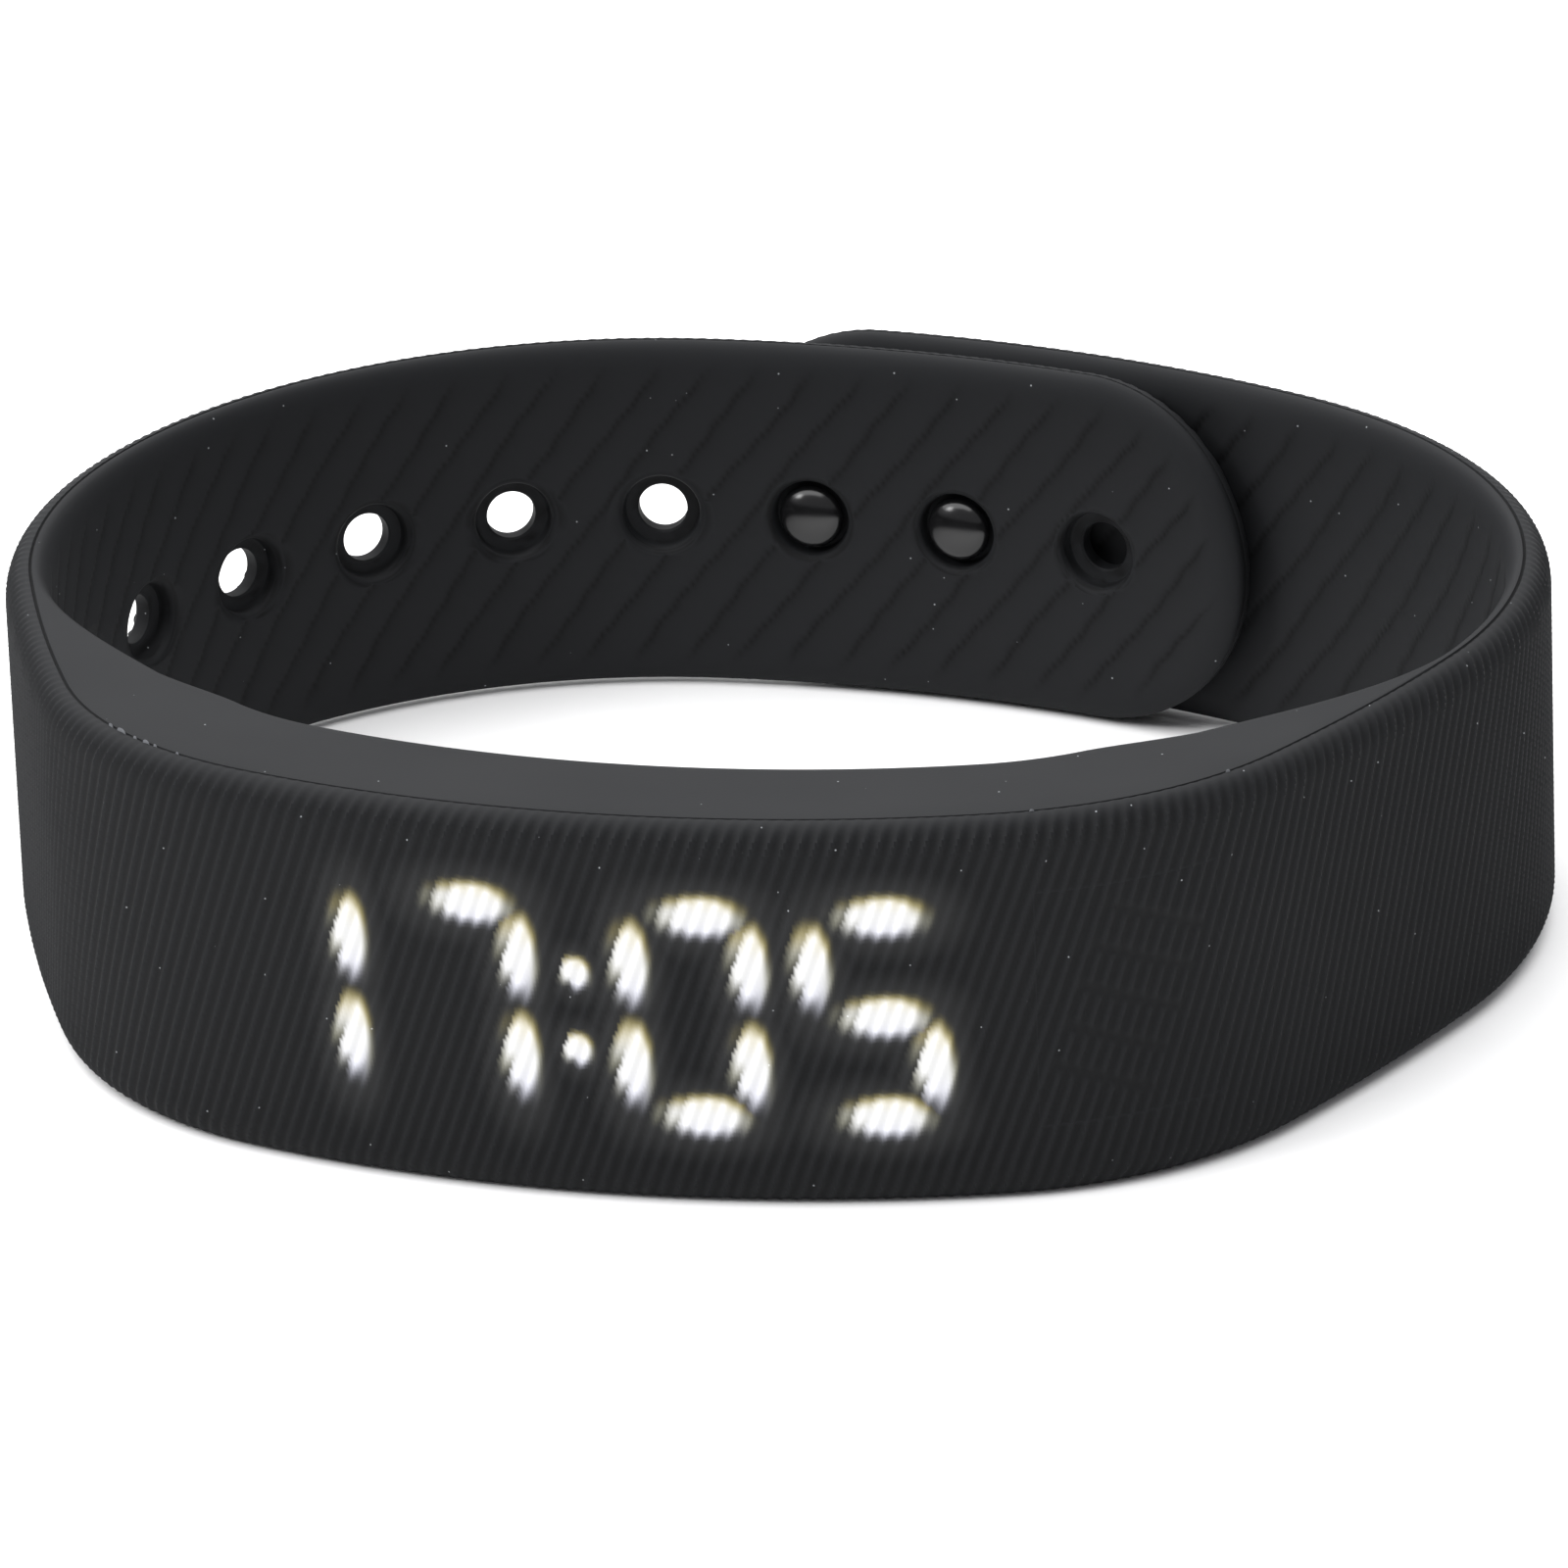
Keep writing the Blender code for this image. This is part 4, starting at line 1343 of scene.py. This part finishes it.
@dataclass
class Clasp:
    """The glossy plate on the outer strap, with two mushroom pegs.

    Attributes:
        pegs: places of the pegs.
        half: half length and half height of the plate, whose ends are half circles.
        thick: the plate's thickness.
        neck, head: the pegs' radii.
        under_head, top: depths of the underside of the heads and of their domes.
        seat_gap: room round the plate in its seat.
        round_off, crown, sunk: rounding of the plate's edges, the rise of its face, and how far that
            lies under the strap's.
    """

    pegs: tuple[float, float]
    half: tuple[float, float] = (7.0, 2.8)
    thick: float = 0.8
    neck: float = 1.0
    head: float = 1.65
    under_head: float = 4.0
    top: float = 4.95
    seat_gap: float = 0.12
    round_off: float = 0.25
    crown: float = 0.06
    sunk: float = 0.02

    @property
    def middle(self) -> float:
        """The plate's middle."""
        return sum(self.pegs) / len(self.pegs)

    def slab(self, name: str, grow: float, depths: Array, insets: Array) -> Piece:
        """A slab with half-round ends: its outline drawn in by an inset at each depth.

        Args:
            name: the piece's name.
            grow: how much the outline grows all round.
            depths: depth of each ring.
            insets: how far in each ring lies.

        Returns:
            The piece.
        """
        turn = np.linspace(0, math.tau, 96, endpoint=False)
        radius = self.half[1] + grow - insets[:, None]
        straight = self.half[0] - self.half[1]
        u = self.middle + np.sign(np.cos(turn)) * straight + radius * np.cos(turn)
        z = SECTION.strap_middle + radius * np.sin(turn)
        return tube(name, place(u, depths[:, None], z))

    def seat(self) -> list[Piece]:
        """The room that the plate and the pegs' necks need in the strap.

        Returns:
            The shapes to cut.
        """
        depths, insets = np.array((-0.5, 0.0, 0.12, self.thick + 0.05)), np.array((-0.15, -0.1, 0.0, 0.0))
        bore = np.array(((self.neck + 0.1, self.thick - 0.2), (self.neck + 0.1, SECTION.strap_thick + 0.5)))
        tools = [self.slab("seat", self.seat_gap, depths, insets)]
        return tools + [turned("peg_bore", u, SECTION.strap_middle, bore) for u in self.pegs]

    def build(self, looks: Looks) -> None:
        """Makes the plate with round edges and a low crown, and joins the pegs on.

        Args:
            looks: the materials.
        """
        turn = np.linspace(0, math.pi / 2, 6)
        falling, rising = self.round_off * (1 - np.cos(turn)), self.round_off * np.sin(turn)
        insets = np.concatenate(((2.4, 1.2), self.round_off - rising, falling))
        depths = np.concatenate((
            (self.sunk, self.sunk + self.crown / 3), self.sunk + self.crown + falling,
            self.thick - self.round_off + rising))
        clasp = self.slab("clasp_plate", 0.0, depths, insets)
        rim = self.under_head + 0.12
        turn = np.linspace(0, 1.5, 16)
        dome = np.stack((self.head * np.cos(turn), rim + (self.top - rim) * np.sin(turn)), axis=1)
        neck = ((self.neck, self.thick / 2), (self.neck, self.under_head - 0.15))
        underside = ((self.neck + 0.1, self.under_head), (self.head - 0.1, self.under_head + 0.02))
        profile = np.concatenate((neck, underside, dome))
        combine(clasp, [turned("peg", u, SECTION.strap_middle, profile, 64) for u in self.pegs], "UNION")
        finish_piece(clasp, looks.of(CLASP_GLOSS))
        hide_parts("peg_clasp")
        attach(clasp, "peg_strap_5")


@dataclass
class PegStrap(Strap):
    """The outer strap, which holds the clasp."""

    clasp: Clasp | None = None

    def tools(self, index: int) -> list[Piece]:
        """The clasp's seat, in the last skin."""
        return self.clasp.seat() if index + 1 == len(self.hinges) else []

    def build(self, looks: Looks) -> None:
        """Makes the skins and the clasp."""
        super().build(looks)
        self.clasp.build(looks)


@dataclass
class Flash:
    """Thin slivers of silicone that the mould has left along the parting line, near the display.

    Attributes:
        slivers: middle u, length and height of each.
        depth, width: where they stand and how thick they are at the root.
        low: how far their root lies under the top face.
        stations: number of sections along each.
    """

    slivers: tuple[tuple[float, float, float], ...] = (
        (-27.7, 0.5, 0.12), (-26.7, 0.9, 0.16), (-25.5, 0.35, 0.10), (-24.6, 0.6, 0.14),
        (-23.9, 0.3, 0.10), (-22.3, 0.25, 0.08), (20.4, 0.3, 0.08), (31.2, 0.35, 0.10),
    )
    depth: float = 1.24
    width: float = 0.07
    low: float = 0.14
    stations: int = 7

    def build(self, looks: Looks) -> None:
        """Makes the slivers as one piece, each a low tent with pointed ends.

        Args:
            looks: the materials.
        """
        points, faces = [], []
        index = np.arange(4 * self.stations).reshape(self.stations, 4)
        after = np.roll(index, -1, axis=1)
        quads = np.stack((index[:-1], after[:-1], after[1:], index[1:]), axis=-1).reshape(-1, 4)
        block_faces = np.concatenate((quads, index[:1, ::-1], index[-1:]))
        along = np.linspace(-1, 1, self.stations)[:, None]
        for middle, length, height in self.slivers:
            u = middle + along * length / 2
            top = SECTION.half_width(u, math.inf) + SECTION.height(u) - self.low
            swell = 0.15 + 0.85 * np.sqrt(1 - along**2)
            t = self.depth + swell * self.width * np.array((-0.5, 0.5, 0.1, -0.1))
            z = top + swell * (height + self.low) * np.array((0.0, 0.0, 1.0, 1.0))
            faces.append(block_faces + len(points) * index.size)
            points.append(place(u, t, z).reshape(-1, 3))
        flash = make_mesh("parting_flash", np.concatenate(points), [np.concatenate(faces)])
        finish_piece(flash, looks.of(FLASH))
        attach(flash, "core")


@dataclass
class Fittings:
    """The frame's own nodes that keep their shape: the casing, what is in it and its fastenings.

    Attributes:
        finishes: each node's finish.
    """

    finishes: dict[str, Finish] = field(default_factory=lambda: NODE_FINISHES)

    def build(self, looks: Looks) -> None:
        """Gives each node its finish.

        Args:
            looks: the materials.
        """
        for name, finish in self.finishes.items():
            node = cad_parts[name]
            node.data.materials.clear()
            node.data.materials.append(looks.of(finish))
            LOG.info("%s: %s", name, finish.name)


# ---------------------------------------------------------------- studio


@dataclass(frozen=True)
class Softbox:
    """A rectangular light that faces the band: its place and sides in metres, and its power in watts."""

    name: str
    at: tuple[float, float, float]
    sides: tuple[float, float]
    power: float

    def build(self) -> None:
        """Makes the light."""
        data = bpy.data.lights.new(self.name, "AREA")
        data.shape = "RECTANGLE"
        data.size, data.size_y = self.sides
        data.energy = self.power
        light = bpy.data.objects.new(self.name, data)
        light.location = self.at
        band_middle = Vector((0, 0, 0.01))
        light.rotation_euler = (band_middle - Vector(self.at)).to_track_quat("-Z", "Y").to_euler()
        bpy.context.scene.collection.objects.link(light)


@dataclass
class Studio:
    """A pale floor, soft light and the camera.

    Attributes:
        azimuth, elevation, roll: the camera's direction in degrees.
        distance: from the camera to the point that it looks at.
        lens, sensor: focal length and width of the sensor, in millimetres.
        aim: that point, from the middle of the display's lower edge, in millimetres.
        floor_half: half of the floor's side.
        sky: the surroundings' grey, with a touch more blue.
        softboxes: a wide one overhead, a weak one behind and a small one on the left.
    """

    azimuth: float = 14.21
    elevation: float = 22.23
    roll: float = 2.10
    distance: float = 0.6
    lens: float = 287.6
    sensor: float = 36.0
    aim: tuple[float, float, float] = (1.475, 30.213, 8.609)
    floor_half: float = 3.0
    sky: float = 0.45
    softboxes: tuple[Softbox, ...] = (
        Softbox("overhead", (-0.3, 0.05, 1.15), (2.2, 2.2), 48.0),
        Softbox("back", (0.0, 1.2, 0.62), (1.5, 0.6), 4.0),
        Softbox("left", (-0.55, -0.45, 0.5), (0.2, 0.2), 1.5),
    )

    def build_camera(self) -> None:
        """The camera, turned to its azimuth and elevation and then rolled about its own axis."""
        turn, rise, roll = (math.radians(a) for a in (self.azimuth, self.elevation, self.roll))
        ahead = Vector((-math.sin(turn) * math.cos(rise), math.cos(turn) * math.cos(rise), -math.sin(rise)))
        right = Vector((math.cos(turn), math.sin(turn), 0))
        up = right.cross(ahead)
        across = math.cos(roll) * right - math.sin(roll) * up
        over = math.sin(roll) * right + math.cos(roll) * up
        data = bpy.data.cameras.new("camera")
        data.lens = self.lens
        data.sensor_width = self.sensor
        data.clip_end = 20.0
        camera = bpy.data.objects.new("camera", data)
        aim = Vector(np.array(self.aim) * MM + ORIGIN)
        facing = Matrix((across, over, -ahead)).transposed().to_4x4()
        camera.matrix_world = Matrix.Translation(aim - self.distance * ahead) @ facing
        bpy.context.scene.collection.objects.link(camera)
        bpy.context.scene.camera = camera

    def build_floor(self) -> None:
        """A matt white board under the band."""
        half = self.floor_half
        corners = np.array(((-half, -half, 0), (half, -half, 0), (half, half, 0), (-half, half, 0)))
        data = bpy.data.meshes.new("floor")
        data.from_pydata(corners.tolist(), [], [(0, 1, 2, 3)])
        floor = bpy.data.objects.new("floor", data)
        bpy.context.scene.collection.objects.link(floor)
        look, tree, at = new_look("floor_white_board")
        tooth = add_node(tree, "ShaderNodeTexNoise", {"Vector": at, "Scale": 1 / (3 * MM)})
        tone = add_node(tree, "ShaderNodeMix", {
            "Factor": tooth.outputs["Fac"], "A": linear("#f7f7f7"), "B": linear("#f5f5f5"),
        }, data_type="RGBA")
        shader = add_node(tree, "ShaderNodeBsdfPrincipled", {
            "Base Color": tone.outputs["Result"], "Roughness": 0.9, "Specular IOR Level": 0.1})
        add_node(tree, "ShaderNodeOutputMaterial", {"Surface": shader.outputs["BSDF"]})
        data.materials.append(look)

    def build_lights(self) -> None:
        """The sky and the softboxes, with colours shown as they are."""
        world = bpy.data.worlds.new("sky")
        world.use_nodes = True
        sky = world.node_tree.nodes["Background"]
        sky.inputs["Color"].default_value = (self.sky, self.sky, self.sky * 1.03, 1)
        bpy.context.scene.world = world
        for softbox in self.softboxes:
            softbox.build()
        bpy.context.scene.view_settings.view_transform = "Standard"


def main() -> None:
    """Builds the camera, the band's sub-assemblies and the studio, in that order."""
    logging.basicConfig(level=logging.INFO, format="%(name)s: %(message)s")
    studio = Studio()
    studio.build_camera()
    looks = Looks()
    Sleeve().build(looks)
    hole_strap = HoleStrap(Side.HOLES, HOLE_TIP_CENTRE)
    hole_strap.build(looks)
    pegs = tuple(LINE.back_place(Side.PEGS, Side.HOLES, u) for u in hole_strap.holes()[PEGGED_HOLES])
    peg_tip_centre = pegs[-1] + TIP_PAST_PEG - SECTION.tip_radius
    PegStrap(Side.PEGS, peg_tip_centre, clasp=Clasp(pegs)).build(looks)
    Flash().build(looks)
    Fittings().build(looks)
    studio.build_floor()
    studio.build_lights()


if __name__ == "__main__":
    main()
